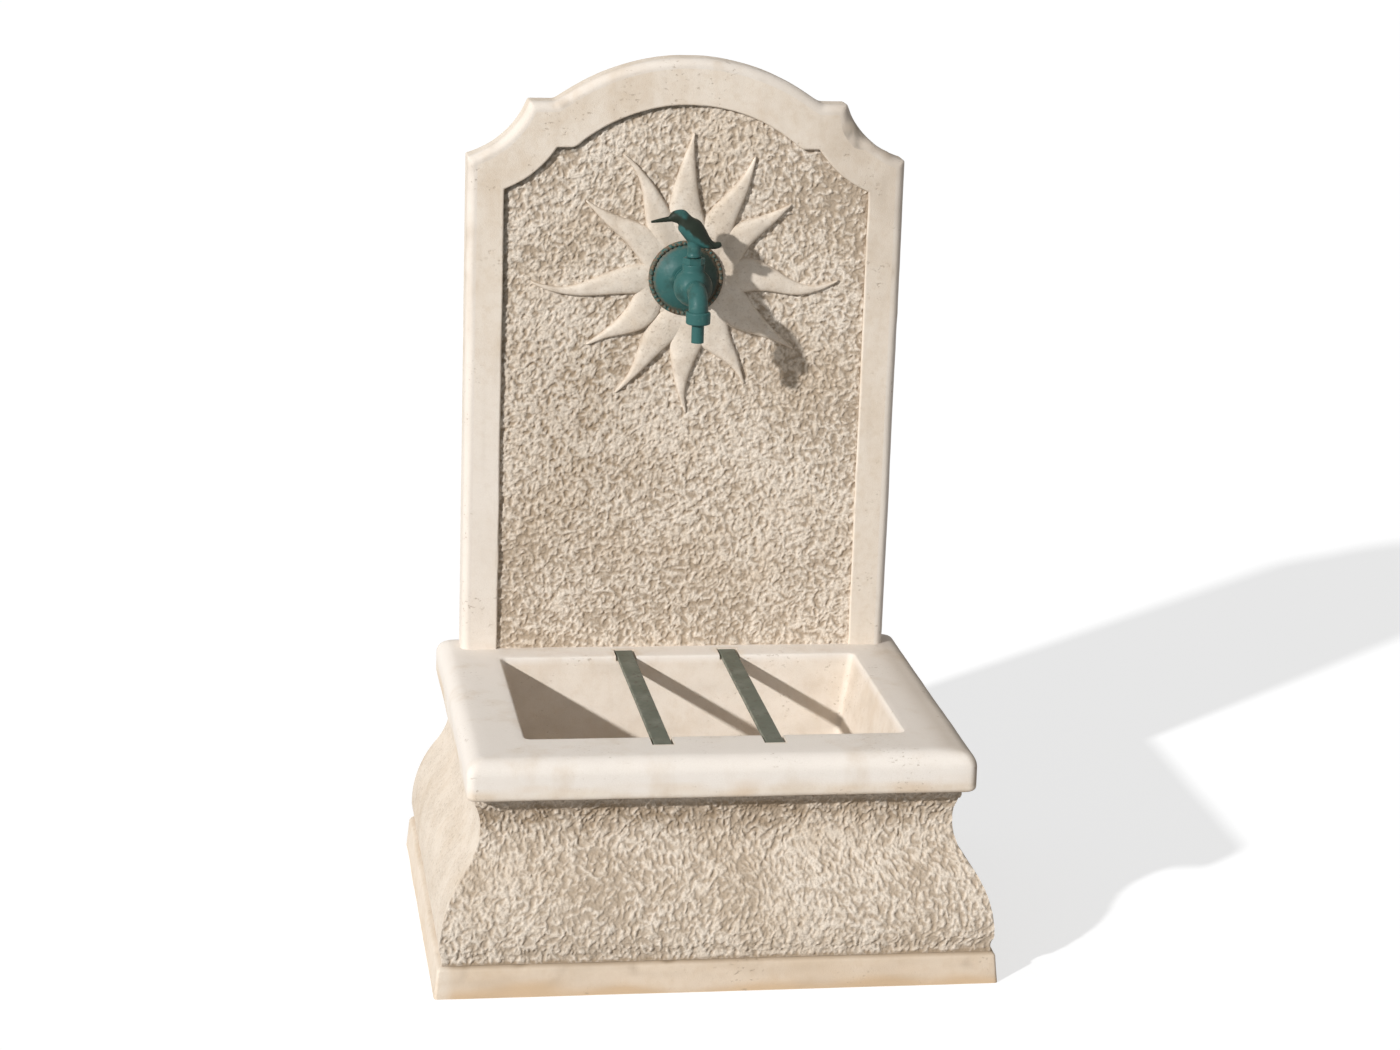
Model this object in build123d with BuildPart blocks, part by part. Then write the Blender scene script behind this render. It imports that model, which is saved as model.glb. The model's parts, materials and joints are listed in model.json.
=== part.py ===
from build123d import *
import math
import os

# Garden fountain of cast stone. Millimetres, +Z up, the front faces -Y,
# and the origin is on the ground under the middle of the plinth.

os.makedirs("parts", exist_ok=True)

# Plinth
plinth_width = 616
plinth_depth = 470
plinth_height = 35
plinth_batter = 3
plinth_round = 6
drain_well_width = 90
waste_channel_width = 70

# Basin: heights
basin_height = 228
rim_height = 46
bead_height = 17
cove_height = 22
foot_height = 8
bulge_height = 17
floor_thickness = 60

# Basin: widths from side to side, and setbacks of its front from the plinth's front
foot_width = 598
foot_setback = 7
bulge_width = 604
bulge_setback = 5
waist_width = 514
waist_setback = 43
neck_width = 523
neck_setback = 38
bead_swell = 2.5
rim_width = 550
rim_setback = 8
rim_top_round = 18
rim_rear_round = 28
rim_under_round = 6
ogee_turn = 0.63

# Basin: pocket for the water
pocket_width = 414
pocket_draft = 10
pocket_corner = 7
pocket_floor_round = 6
pocket_lip_round = 3
ledge_depth = 34.5
front_band = 74

# Bucket bars, loose in notches of the rim
bar_width = 20
bar_thickness = 5
bar_spacing = 122
bar_bearing = 25
bar_sink = 0.5
notch_play = 2

# Back panel
panel_width = 500
panel_thickness = 40
shoulder_height = 575.5
shoulder_scoop = 11.5
ear_height = 638.5
ear_outer_width = 362
ear_inner_width = 302
crown_height = 689
frame_stile = 41
frame_shoulder = 35
frame_ear = 50.5
frame_ear_outer = 31
frame_ear_inner = 21
frame_crown = 51.5
frame_scoop = 6
field_recess = 6.5
frame_outer_round = 8
frame_inner_round = 2.5
panel_rear_round = 4

# Pipe chase: down the basin's back, and the gap between the panel and the wall above it
chase_width = 60
chase_depth = 26

# Dowels between basin and panel
dowel_radius = 6
dowel_grip = 40
dowel_spacing = 300
dowel_play = 0.1

# Sun relief: each ray has its bearing, reach, root width, and how its middle line bends
relief_depth = 5.5
relief_edge = 2.5
relief_crest_share = 0.4
relief_crest_reach = 0.94
relief_hub_radius = 50
relief_root_radius = 40
ray_steps = 4
sun_rays = [
    {"bearing": 2, "reach": 166, "root": 56, "shift": 5, "bend": -8, "sway": -1},
    {"bearing": 29, "reach": 159, "root": 50, "shift": 11, "bend": -2, "sway": -3},
    {"bearing": 55, "reach": 147, "root": 50, "shift": 18, "bend": -11, "sway": -4},
    {"bearing": 91, "reach": 179, "root": 50, "shift": 5, "bend": 2, "sway": -9},
    {"bearing": 123, "reach": 154, "root": 54, "shift": -12, "bend": 7, "sway": 2},
    {"bearing": 150, "reach": 145, "root": 58, "shift": -12, "bend": 8, "sway": 5},
    {"bearing": 178, "reach": 160, "root": 54, "shift": -8, "bend": 7, "sway": -2},
    {"bearing": 210, "reach": 157, "root": 44, "shift": -20, "bend": 2, "sway": 3},
    {"bearing": 235, "reach": 137, "root": 46, "shift": 8, "bend": -11, "sway": -3},
    {"bearing": 268, "reach": 177, "root": 38, "shift": 0, "bend": -9, "sway": 4},
    {"bearing": 307, "reach": 145, "root": 44, "shift": 0, "bend": 2, "sway": 2},
    {"bearing": 332, "reach": 159, "root": 42, "shift": 3, "bend": 5, "sway": -3},
]

# Tap: places
tap_height = 440.5
stem_reach = 58
spout_reach = 45

# Tap: inlet through the panel
tail_radius = 10.4775
thread_play = 0.05
inlet_port_radius = 7
rosette_radius = 43
rosette_depth = 18
rosette_rim = 6
rosette_boss_radius = 19
rosette_border = 5
flange_radius = 16
flange_thickness = 5
tail_length = 38
socket_radius = 13.5
socket_depth = 20
socket_setback = 3
panel_hole_play = 1.5
inlet_washer_radius = 21
inlet_washer_thickness = 2.5
inlet_backnut_flats = 30
inlet_backnut_height = 8
inlet_end_setback = 2
shank_relief = 0.3

# Tap: body, ball and seats
ball_radius = 11
port_radius = 6
seat_land = 1.7
seat_back = 4
seat_play = 0.1
cavity_wall_gap = 1.45
chamber_radius = 22
spout_tube_radius = 11
spout_bend_radius = 19
gland_boss_radius = 13
gland_boss_height = 26.5

# Tap: stem, gland and handle seat
stem_radius = 4
stem_play = 0.05
stem_shoulder = 2
stem_shoulder_height = 3.5
tang_width = 8
tang_thickness = 4
tang_depth = 4
tang_play = 0.05
gland_step = 3.5
packing_thickness = 3.9
packing_height = 5
packing_play = 0.1
packing_nut_flats = 22
packing_nut_height = 7
handle_lift = 0.6
stem_square = 5.6
stem_square_length = 12

# Tap: outlet
outlet_straight = 5
spout_washer_thickness = 1.5
nozzle_radius = 7
nozzle_flange_radius = 10.6
nozzle_flange_thickness = 2.5
nozzle_length = 21
nozzle_neck_relief = 0.2
collar_radius = 13.75
collar_lip = 5
collar_round = 2
collar_play = 0.15

# Bird handle: hub, and stations of the body from face to tail as
# (along the wall, above the hub's foot, half height, half width, heading in degrees)
hub_radius = 8
hub_height = 16
hub_socket_play = 0.05
set_screw_radius = 2
set_screw_height = 6.5
bird_body = [
    (-29.0, 43.6, 3.4, 3.2, 10),
    (-17.5, 46.0, 8.6, 7.6, -10),
    (-8.5, 38.0, 11.4, 10.2, -46),
    (-1.0, 29.0, 13.2, 11.8, -53),
    (6.5, 20.0, 11.2, 10.4, -54),
    (17.0, 14.6, 5.4, 7.0, -30),
    (30.4, 13.8, 2.5, 4.6, 6),
]
beak_tip = (-50.0, 39.6)
beak_tip_radius = 1.0
beak_root = (-24.0, 43.8)
beak_root_radius = 3.8

# Basin waste
drain_flange_radius = 35
drain_flange_thickness = 4
drain_cup_radius = 30
drain_cup_depth = 2
drain_recess_play = 2
drain_tail_radius = 20.955
drain_tail_bore = 17.5
drain_tail_relief = 0.4
drain_tail_end = 10
drain_hole_play = 1.5
drain_gasket_thickness = 2.5
drain_washer_radius = 33
drain_washer_thickness = 3
drain_backnut_flats = 52
drain_backnut_height = 10
drain_bridge_width = 10
drain_bridge_height = 8
drain_bridge_drop = 10
strainer_thickness = 2.5
strainer_play = 0.3
strainer_slots = 8
strainer_slot_width = 4
strainer_slot_inner = 9
strainer_slot_outer = 16
drain_screw_radius = 3
drain_screw_head_radius = 6
drain_screw_head_height = 2
drain_screw_grip = 7

# Places worked out from the sizes above
front_y = -plinth_depth / 2
rear_y = plinth_depth / 2
basin_base = plinth_height
rim_top = basin_base + basin_height
rim_under = rim_top - rim_height
neck_z = rim_under - bead_height
waist_z = neck_z - cove_height
foot_z = basin_base + foot_height
bulge_z = basin_base + bulge_height
pocket_floor = basin_base + floor_thickness

panel_rear = rear_y - chase_depth
panel_front = panel_rear - panel_thickness
field_y = panel_front + field_recess
relief_front = field_y - relief_depth

pocket_back = panel_front - ledge_depth
pocket_front = front_y + rim_setback + front_band
pocket_depth = pocket_back - pocket_front
pocket_y = (pocket_back + pocket_front) / 2
pocket_inset = (rim_top - pocket_floor) * math.tan(math.radians(pocket_draft))

notch_width = bar_width + 2 * notch_play
notch_depth = bar_thickness + bar_sink
bar_length = pocket_depth + 2 * bar_bearing
notch_length = bar_length + 2 * notch_play

dowel_y = (field_y + panel_rear) / 2

tap_z = rim_top + tap_height
rosette_front = relief_front - rosette_depth
body_rear = rosette_front - flange_thickness
stem_y = relief_front - stem_reach
nozzle_y = stem_y - spout_reach
seat_face = math.sqrt(ball_radius**2 - (port_radius + seat_land) ** 2)
seat_end = ball_radius + seat_back
cavity_radius = ball_radius + cavity_wall_gap
socket_front = relief_front + socket_setback
socket_end = socket_front + socket_depth
panel_hole_radius = socket_radius + panel_hole_play
inlet_end_y = rear_y - inlet_end_setback
inlet_nut_rear = panel_rear + inlet_washer_thickness + inlet_backnut_height

ball_top = tap_z + ball_radius
shoulder_top = ball_top + stem_shoulder_height
packing_seat = shoulder_top + gland_step
gland_top = tap_z + gland_boss_height
packing_radius = stem_radius + packing_thickness
packing_top = packing_seat + packing_height
packing_nut_top = gland_top + packing_nut_height
hub_foot = packing_nut_top + handle_lift

bend_end = tap_z - spout_bend_radius
outlet_end = bend_end - outlet_straight
nozzle_flange_top = outlet_end - spout_washer_thickness
nozzle_shoulder = nozzle_flange_top - nozzle_flange_thickness
collar_foot = nozzle_shoulder - collar_lip
nozzle_end = collar_foot - nozzle_length

drain_seat = pocket_floor - drain_gasket_thickness - drain_flange_thickness
drain_hole_radius = drain_tail_radius + drain_hole_play
drain_flange_top = drain_seat + drain_gasket_thickness + drain_flange_thickness
strainer_seat = drain_flange_top - drain_cup_depth
bridge_top = strainer_seat - drain_bridge_drop
drain_nut_top = basin_base - drain_washer_thickness
drain_nut_foot = drain_nut_top - drain_backnut_height
drain_tail_top = drain_flange_top - drain_flange_thickness


def stone_side(side, foot, bulge, waist, neck, rim):
    """Draw one side of the basin from its foot up to the flat of the rim.

    The foot steps out to a bulge, an ogee of two tangent arcs runs in to the waist, a cove
    and a bead lead to the rim, and the rim has a small round below and a large one above.
    """
    turn_x = side * (bulge + (waist - bulge) * ogee_turn)
    turn_z = bulge_z + (waist_z - bulge_z) * ogee_turn
    bead_mid = (side * (neck + bead_swell), (neck_z + rim_under) / 2)
    Line((side * foot, basin_base), (side * foot, foot_z))
    Line((side * foot, foot_z), (side * bulge, bulge_z))
    TangentArc((side * bulge, bulge_z), (turn_x, turn_z), tangent=(0, 1))
    TangentArc((side * waist, waist_z), (turn_x, turn_z), tangent=(0, -1))
    TangentArc((side * waist, waist_z), (side * neck, neck_z), tangent=(0, 1))
    ThreePointArc((side * neck, neck_z), bead_mid, (side * neck, rim_under))
    Line((side * neck, rim_under), (side * (rim - rim_under_round), rim_under))
    TangentArc(
        (side * (rim - rim_under_round), rim_under),
        (side * rim, rim_under + rim_under_round),
        tangent=(side, 0),
    )
    Line((side * rim, rim_under + rim_under_round), (side * rim, rim_top - rim_top_round))
    TangentArc(
        (side * rim, rim_top - rim_top_round),
        (side * (rim - rim_top_round), rim_top),
        tangent=(0, 1),
    )


def plinth_side(side, reach):
    """Draw one side of the plinth: a battered face with a rounded upper edge."""
    top = reach - plinth_batter
    Line((side * reach, 0), (side * top, plinth_height - plinth_round))
    TangentArc(
        (side * top, plinth_height - plinth_round),
        (side * (top - plinth_round), plinth_height),
        tangent=(0, 1),
    )


def panel_half(half, shoulder, scoop, ear, ear_out, ear_in, crown):
    """Draw the right half of an arched outline with a scooped shoulder and a flat ear."""
    Line((0, rim_top), (half, rim_top))
    Line((half, rim_top), (half, rim_top + shoulder))
    SagittaArc((half, rim_top + shoulder), (ear_out, rim_top + ear), scoop)
    Line((ear_out, rim_top + ear), (ear_in, rim_top + ear))
    TangentArc((0, rim_top + crown), (ear_in, rim_top + ear), tangent=(1, 0))
    Line((0, rim_top + crown), (0, rim_top))


def ray_outline(ray, share, reach_share):
    """Draw a ray: a long triangle whose middle line bends, on the field around the tap."""
    bearing = math.radians(ray["bearing"])
    reach = relief_root_radius + (ray["reach"] - relief_root_radius) * reach_share
    sides = []
    for side in (-1, 1):
        edge = []
        for step in range(ray_steps + 1):
            t = step / ray_steps
            middle = ray["shift"] * (1 - t) + 4 * ray["bend"] * t * (1 - t)
            middle += ray["sway"] * math.sin(2 * math.pi * t)
            across = middle + side * share * ray["root"] / 2 * (1 - t)
            along = relief_root_radius + (reach - relief_root_radius) * t
            x = along * math.sin(bearing) + across * math.cos(bearing)
            z = along * math.cos(bearing) - across * math.sin(bearing)
            edge.append((x, tap_z + z))
        sides.append(edge)
    Spline(*sides[0])
    Spline(*reversed(sides[1]))
    Line(sides[1][0], sides[0][0])


def ring(outer, inner):
    """Add a flat ring to the sketch under construction."""
    Circle(outer)
    Circle(inner, mode=Mode.SUBTRACT)


def wall_plane(y):
    """Return the plane at y whose normal points to the front, with its origin on the tap."""
    return Plane(origin=(0, y, tap_z), x_dir=(1, 0, 0), z_dir=(0, -1, 0))


def stem_plane(z):
    """Return the level plane at z with its origin on the stem's axis."""
    return Plane(origin=(0, stem_y, z))


def nozzle_plane(z):
    """Return the level plane at z with its origin on the nozzle's axis."""
    return Plane(origin=(0, nozzle_y, z))


def drain_plane(z):
    """Return the level plane at z with its origin on the waste's axis."""
    return Plane(origin=(0, pocket_y, z))


# Plinth: a battered slab with a well for the waste and a channel out to the rear
with BuildPart() as plinth:
    with BuildSketch(Plane.XZ):
        with BuildLine():
            plinth_side(1, plinth_width / 2)
            Line((plinth_width / 2 - plinth_batter - plinth_round, plinth_height), (0, plinth_height))
            Line((0, plinth_height), (0, 0))
            Line((0, 0), (plinth_width / 2, 0))
        make_face()
        mirror(about=Plane.YZ)
    extrude(amount=plinth_depth, both=True)
    with BuildSketch(Plane.YZ):
        with BuildLine():
            plinth_side(-1, plinth_depth / 2)
            Line((front_y + plinth_batter + plinth_round, plinth_height), (rear_y, plinth_height))
            Line((rear_y, plinth_height), (rear_y, 0))
            Line((rear_y, 0), (front_y, 0))
        make_face()
    extrude(amount=plinth_width, both=True, mode=Mode.INTERSECT)
    with BuildSketch(drain_plane(0)):
        Rectangle(drain_well_width, drain_well_width)
        with Locations((0, (rear_y - pocket_y) / 2)):
            Rectangle(waste_channel_width, rear_y - pocket_y)
    extrude(amount=plinth_height, mode=Mode.SUBTRACT)
plinth.part.label = "plinth"
export_step(plinth.part, "parts/plinth.step")

# Basin: the front view and the side view of the casting are crossed, which mitres its corners
with BuildPart() as basin:
    with BuildSketch(Plane.XZ):
        with BuildLine():
            stone_side(1, foot_width / 2, bulge_width / 2, waist_width / 2, neck_width / 2, rim_width / 2)
            Line((rim_width / 2 - rim_top_round, rim_top), (0, rim_top))
            Line((0, rim_top), (0, basin_base))
            Line((0, basin_base), (foot_width / 2, basin_base))
        make_face()
        mirror(about=Plane.YZ)
    extrude(amount=plinth_depth, both=True)
    with BuildSketch(Plane.YZ):
        with BuildLine():
            stone_side(
                -1,
                plinth_depth / 2 - foot_setback,
                plinth_depth / 2 - bulge_setback,
                plinth_depth / 2 - waist_setback,
                plinth_depth / 2 - neck_setback,
                plinth_depth / 2 - rim_setback,
            )
            Line((front_y + rim_setback + rim_top_round, rim_top), (rear_y - rim_rear_round, rim_top))
            TangentArc(
                (rear_y - rim_rear_round, rim_top),
                (rear_y, rim_top - rim_rear_round),
                tangent=(1, 0),
            )
            Line((rear_y, rim_top - rim_rear_round), (rear_y, basin_base))
            Line((rear_y, basin_base), (front_y + foot_setback, basin_base))
        make_face()
    extrude(amount=bulge_width, both=True, mode=Mode.INTERSECT)
    with BuildSketch(drain_plane(rim_top)):
        RectangleRounded(pocket_width, pocket_depth, pocket_corner)
    with BuildSketch(drain_plane(pocket_floor)):
        RectangleRounded(pocket_width - 2 * pocket_inset, pocket_depth - 2 * pocket_inset, pocket_corner)
    loft(ruled=True, mode=Mode.SUBTRACT)
    fillet(basin.faces().filter_by(Axis.Z).group_by(Axis.Z)[1].edges(), pocket_floor_round)
    fillet(basin.faces().filter_by(Axis.Z).sort_by(Axis.Z)[-1].inner_wires()[0].edges(), pocket_lip_round)
    with BuildSketch(drain_plane(rim_top)):
        with GridLocations(bar_spacing, 0, 2, 1):
            Rectangle(notch_width, notch_length)
    extrude(amount=-notch_depth, mode=Mode.SUBTRACT)
    with BuildSketch(drain_plane(pocket_floor)):
        Circle(drain_flange_radius + drain_recess_play)
    extrude(amount=drain_seat - pocket_floor, mode=Mode.SUBTRACT)
    with BuildSketch(drain_plane(basin_base)):
        Circle(drain_hole_radius)
    extrude(amount=drain_seat - basin_base, mode=Mode.SUBTRACT)
    with BuildSketch(Plane.XY.offset(basin_base)):
        with Locations((0, (panel_rear + rear_y) / 2)):
            Rectangle(chase_width, chase_depth)
    extrude(amount=basin_height, mode=Mode.SUBTRACT)
    with BuildSketch(Plane.XY.offset(rim_top)):
        with Locations((0, dowel_y)):
            with GridLocations(dowel_spacing, 0, 2, 1):
                Circle(dowel_radius + dowel_play)
    extrude(amount=-dowel_grip, mode=Mode.SUBTRACT)
basin.part.label = "basin"
export_step(basin.part, "parts/basin.step")

# Back panel: arched slab with a raised frame and a recessed field, standing clear of the wall
with BuildPart() as back_panel:
    with BuildSketch(Plane.XZ.offset(-panel_rear)):
        with BuildLine():
            panel_half(
                panel_width / 2,
                shoulder_height,
                shoulder_scoop,
                ear_height,
                ear_outer_width / 2,
                ear_inner_width / 2,
                crown_height,
            )
        make_face()
        mirror(about=Plane.YZ)
    extrude(amount=panel_thickness)
    fillet(back_panel.faces().sort_by(Axis.Y)[0].edges().sort_by(Axis.Z)[1:], frame_outer_round)
    fillet(back_panel.faces().sort_by(Axis.Y)[-1].edges().sort_by(Axis.Z)[1:], panel_rear_round)
    with BuildSketch(Plane.XZ.offset(-panel_front)):
        with BuildLine():
            panel_half(
                panel_width / 2 - frame_stile,
                shoulder_height - frame_shoulder,
                frame_scoop,
                ear_height - frame_ear,
                ear_outer_width / 2 - frame_ear_outer,
                ear_inner_width / 2 - frame_ear_inner,
                crown_height - frame_crown,
            )
        make_face()
        mirror(about=Plane.YZ)
    extrude(amount=-field_recess, mode=Mode.SUBTRACT)
    arris = back_panel.edges(Select.LAST).group_by(Axis.Y)[0]
    fillet(arris.filter_by(lambda edge: edge.center().Z > rim_top), frame_inner_round)
    with BuildSketch(wall_plane(panel_rear)):
        Circle(panel_hole_radius)
    extrude(amount=panel_thickness, mode=Mode.SUBTRACT)
    with BuildSketch(Plane.XY.offset(rim_top)):
        with Locations((0, dowel_y)):
            with GridLocations(dowel_spacing, 0, 2, 1):
                Circle(dowel_radius + dowel_play)
    extrude(amount=dowel_grip, mode=Mode.SUBTRACT)
back_panel.part.label = "back_panel"
export_step(back_panel.part, "parts/back_panel.step")

# Dowels: two steel pins, half in the basin and half in the panel
with BuildPart() as panel_dowels:
    with BuildSketch(Plane.XY.offset(rim_top - dowel_grip)):
        with Locations((0, dowel_y)):
            with GridLocations(dowel_spacing, 0, 2, 1):
                Circle(dowel_radius)
    extrude(amount=2 * dowel_grip)
panel_dowels.part.label = "panel_dowels"
export_step(panel_dowels.part, "parts/panel_dowels.step")

# Sun relief: each ray rises from its outline to a narrower crest, and all grow from a hub
with BuildPart() as sun_relief:
    with BuildSketch(wall_plane(field_y)):
        Circle(relief_hub_radius)
    extrude(amount=relief_depth)
    for ray in sun_rays:
        for rise, share, reach_share in (
            (0, 1, 1),
            (relief_edge, 1, 1),
            (relief_depth, relief_crest_share, relief_crest_reach),
        ):
            with BuildSketch(Plane.XZ.offset(rise - field_y)):
                with BuildLine():
                    ray_outline(ray, share, reach_share)
                make_face()
        loft(ruled=True)
    with BuildSketch(wall_plane(field_y)):
        Circle(panel_hole_radius)
    extrude(amount=relief_depth, mode=Mode.SUBTRACT)
sun_relief.part.label = "sun_relief"
export_step(sun_relief.part, "parts/sun_relief.step")

# Bucket bars: two flat irons across the pocket, each in its notches
for bar_name, bar_side in (("bucket_bar_left", -1), ("bucket_bar_right", 1)):
    with BuildPart() as bucket_bar:
        with BuildSketch(drain_plane(rim_top - notch_depth)):
            with Locations((bar_side * bar_spacing / 2, 0)):
                Rectangle(bar_width, bar_length)
        extrude(amount=bar_thickness)
    bucket_bar.part.label = bar_name
    export_step(bucket_bar.part, "parts/" + bar_name + ".step")

# Rosette: a domed cover plate with a raised border, clamped between the tap and the sun
with BuildPart() as rosette:
    with BuildSketch(Plane(origin=(0, relief_front, tap_z), x_dir=(1, 0, 0), z_dir=(0, 0, 1))):
        with BuildLine():
            Line((tail_radius + panel_hole_play, 0), (rosette_radius, 0))
            Line((rosette_radius, 0), (rosette_radius, -rosette_rim))
            Line((rosette_radius, -rosette_rim), (rosette_radius - rosette_border, -rosette_rim))
            TangentArc(
                (rosette_boss_radius, -rosette_depth),
                (rosette_radius - rosette_border, -rosette_rim),
                tangent=(1, 0),
            )
            Line((rosette_boss_radius, -rosette_depth), (tail_radius + panel_hole_play, -rosette_depth))
            Line((tail_radius + panel_hole_play, -rosette_depth), (tail_radius + panel_hole_play, 0))
        make_face()
    revolve(axis=Axis((0, 0, tap_z), (0, 1, 0)))
rosette.part.label = "rosette"
export_step(rosette.part, "parts/rosette.step")

# Inlet end: screws into the rear of the tap, with the flange on the rosette and the tail behind
with BuildPart() as inlet_end:
    with BuildSketch(wall_plane(rosette_front)):
        Circle(flange_radius)
    extrude(amount=flange_thickness)
    with BuildSketch(wall_plane(body_rear)):
        Circle(cavity_radius - thread_play)
    extrude(amount=body_rear - stem_y - seat_end)
    with BuildSketch(wall_plane(rosette_front)):
        Circle(tail_radius)
    extrude(amount=-tail_length)
    with BuildSketch(wall_plane(rosette_front + tail_length)):
        Circle(port_radius)
    extrude(amount=rosette_front + tail_length - stem_y - seat_end, mode=Mode.SUBTRACT)
inlet_end.part.label = "inlet_end"
export_step(inlet_end.part, "parts/inlet_end.step")

# Extension nipple: a socket for the tap's tail, a shank through the nut, and a free threaded end
with BuildPart() as extension_nipple:
    with BuildSketch(wall_plane(socket_end)):
        Circle(socket_radius)
    extrude(amount=socket_depth)
    with BuildSketch(wall_plane(inlet_nut_rear)):
        Circle(tail_radius - shank_relief)
    extrude(amount=inlet_nut_rear - socket_end)
    with BuildSketch(wall_plane(inlet_end_y)):
        Circle(tail_radius)
    extrude(amount=inlet_end_y - inlet_nut_rear)
    with BuildSketch(wall_plane(inlet_end_y)):
        Circle(inlet_port_radius)
    extrude(amount=inlet_end_y - socket_front, mode=Mode.SUBTRACT)
    with BuildSketch(wall_plane(rosette_front + tail_length)):
        Circle(tail_radius + thread_play)
    extrude(amount=rosette_front + tail_length - socket_front, mode=Mode.SUBTRACT)
extension_nipple.part.label = "extension_nipple"
export_step(extension_nipple.part, "parts/extension_nipple.step")

# Inlet washer: spans the panel's hole on the back of the panel
with BuildPart() as inlet_washer:
    with BuildSketch(wall_plane(panel_rear + inlet_washer_thickness)):
        ring(inlet_washer_radius, tail_radius + thread_play)
    extrude(amount=inlet_washer_thickness)
inlet_washer.part.label = "inlet_washer"
export_step(inlet_washer.part, "parts/inlet_washer.step")

# Inlet backnut: draws the extension, and with it the tap, against the panel
with BuildPart() as inlet_backnut:
    with BuildSketch(wall_plane(inlet_nut_rear)):
        RegularPolygon(inlet_backnut_flats / 2, 6, major_radius=False)
        Circle(tail_radius - shank_relief + thread_play, mode=Mode.SUBTRACT)
    extrude(amount=inlet_backnut_height)
inlet_backnut.part.label = "inlet_backnut"
export_step(inlet_backnut.part, "parts/inlet_backnut.step")

# Tap body: ball chamber, rear barrel, gland boss and a spout that bends down, all bored through
with BuildPart() as tap_body:
    with Locations((0, stem_y, tap_z)):
        Sphere(chamber_radius)
    with BuildSketch(wall_plane(body_rear)):
        Circle(flange_radius)
    extrude(amount=body_rear - stem_y)
    with BuildSketch(stem_plane(tap_z)):
        Circle(gland_boss_radius)
    extrude(amount=gland_boss_height)
    with BuildLine() as spout_path:
        spout_run = Line((0, stem_y, tap_z), (0, nozzle_y + spout_bend_radius, tap_z))
        spout_bend = TangentArc(spout_run @ 1, (0, nozzle_y, bend_end), tangent=(0, -1, 0))
        Line(spout_bend @ 1, (0, nozzle_y, outlet_end))
    with BuildSketch(wall_plane(stem_y)):
        Circle(spout_tube_radius)
    sweep(path=spout_path.line)
    with BuildSketch(wall_plane(stem_y)):
        Circle(port_radius)
    sweep(path=spout_path.line, mode=Mode.SUBTRACT)
    with BuildSketch(wall_plane(body_rear)):
        Circle(cavity_radius)
    extrude(amount=body_rear - stem_y + seat_end, mode=Mode.SUBTRACT)
    with BuildSketch(stem_plane(tap_z)):
        Circle(stem_radius + stem_shoulder + stem_play)
    extrude(amount=shoulder_top - tap_z, mode=Mode.SUBTRACT)
    with BuildSketch(stem_plane(tap_z)):
        Circle(stem_radius + stem_play)
    extrude(amount=gland_boss_height, mode=Mode.SUBTRACT)
    with BuildSketch(stem_plane(packing_seat)):
        Circle(packing_radius + packing_play)
    extrude(amount=gland_top - packing_seat, mode=Mode.SUBTRACT)
tap_body.part.label = "tap_body"
export_step(tap_body.part, "parts/tap_body.step")

# Valve ball: bored across the flow while the tap is shut, with a slot on top for the stem
with BuildPart() as valve_ball:
    with Locations((0, stem_y, tap_z)):
        Sphere(ball_radius)
    with BuildSketch(Plane(origin=(-ball_radius, stem_y, tap_z), x_dir=(0, 1, 0), z_dir=(1, 0, 0))):
        Circle(port_radius)
    extrude(amount=2 * ball_radius, mode=Mode.SUBTRACT)
    with BuildSketch(stem_plane(ball_top - tang_depth)):
        Rectangle(tang_width + 2 * tang_play, tang_thickness + 2 * tang_play)
    extrude(amount=tang_depth, mode=Mode.SUBTRACT)
valve_ball.part.label = "valve_ball"
export_step(valve_ball.part, "parts/valve_ball.step")

# Seat rings: one on each side of the ball, hollowed to its curve
for seat_name, seat_side in (("seat_ring_front", -1), ("seat_ring_rear", 1)):
    with BuildPart() as seat_ring:
        with BuildSketch(wall_plane(stem_y + seat_side * seat_face)):
            ring(cavity_radius - seat_play, port_radius)
        extrude(amount=-seat_side * (seat_end - seat_face))
        with Locations((0, stem_y, tap_z)):
            Sphere(ball_radius + seat_play, mode=Mode.SUBTRACT)
    seat_ring.part.label = seat_name
    export_step(seat_ring.part, "parts/" + seat_name + ".step")

# Valve stem: tang in the ball, shoulder under the gland, and a square for the handle
with BuildPart() as valve_stem:
    with BuildSketch(stem_plane(ball_top - tang_depth)):
        Rectangle(tang_width, tang_thickness)
    extrude(amount=tang_depth)
    with BuildSketch(stem_plane(ball_top)):
        Circle(stem_radius + stem_shoulder)
    extrude(amount=stem_shoulder_height - stem_play)
    with BuildSketch(stem_plane(ball_top)):
        Circle(stem_radius)
    extrude(amount=hub_foot - ball_top)
    with BuildSketch(stem_plane(hub_foot)):
        Rectangle(stem_square, stem_square)
    extrude(amount=stem_square_length)
valve_stem.part.label = "valve_stem"
export_step(valve_stem.part, "parts/valve_stem.step")

# Stem packing: ring in the gland
with BuildPart() as stem_packing:
    with BuildSketch(stem_plane(packing_seat)):
        ring(packing_radius, stem_radius + stem_play)
    extrude(amount=packing_height)
stem_packing.part.label = "stem_packing"
export_step(stem_packing.part, "parts/stem_packing.step")

# Packing nut: hexagon over the gland, with a nose that presses on the packing
with BuildPart() as packing_nut:
    with BuildSketch(stem_plane(gland_top)):
        RegularPolygon(packing_nut_flats / 2, 6, major_radius=False)
    extrude(amount=packing_nut_height)
    with BuildSketch(stem_plane(packing_top)):
        Circle(packing_radius)
    extrude(amount=gland_top - packing_top)
    with BuildSketch(stem_plane(packing_top)):
        Circle(stem_radius + stem_play)
    extrude(amount=packing_nut_top - packing_top, mode=Mode.SUBTRACT)
packing_nut.part.label = "packing_nut"
export_step(packing_nut.part, "parts/packing_nut.step")

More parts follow.
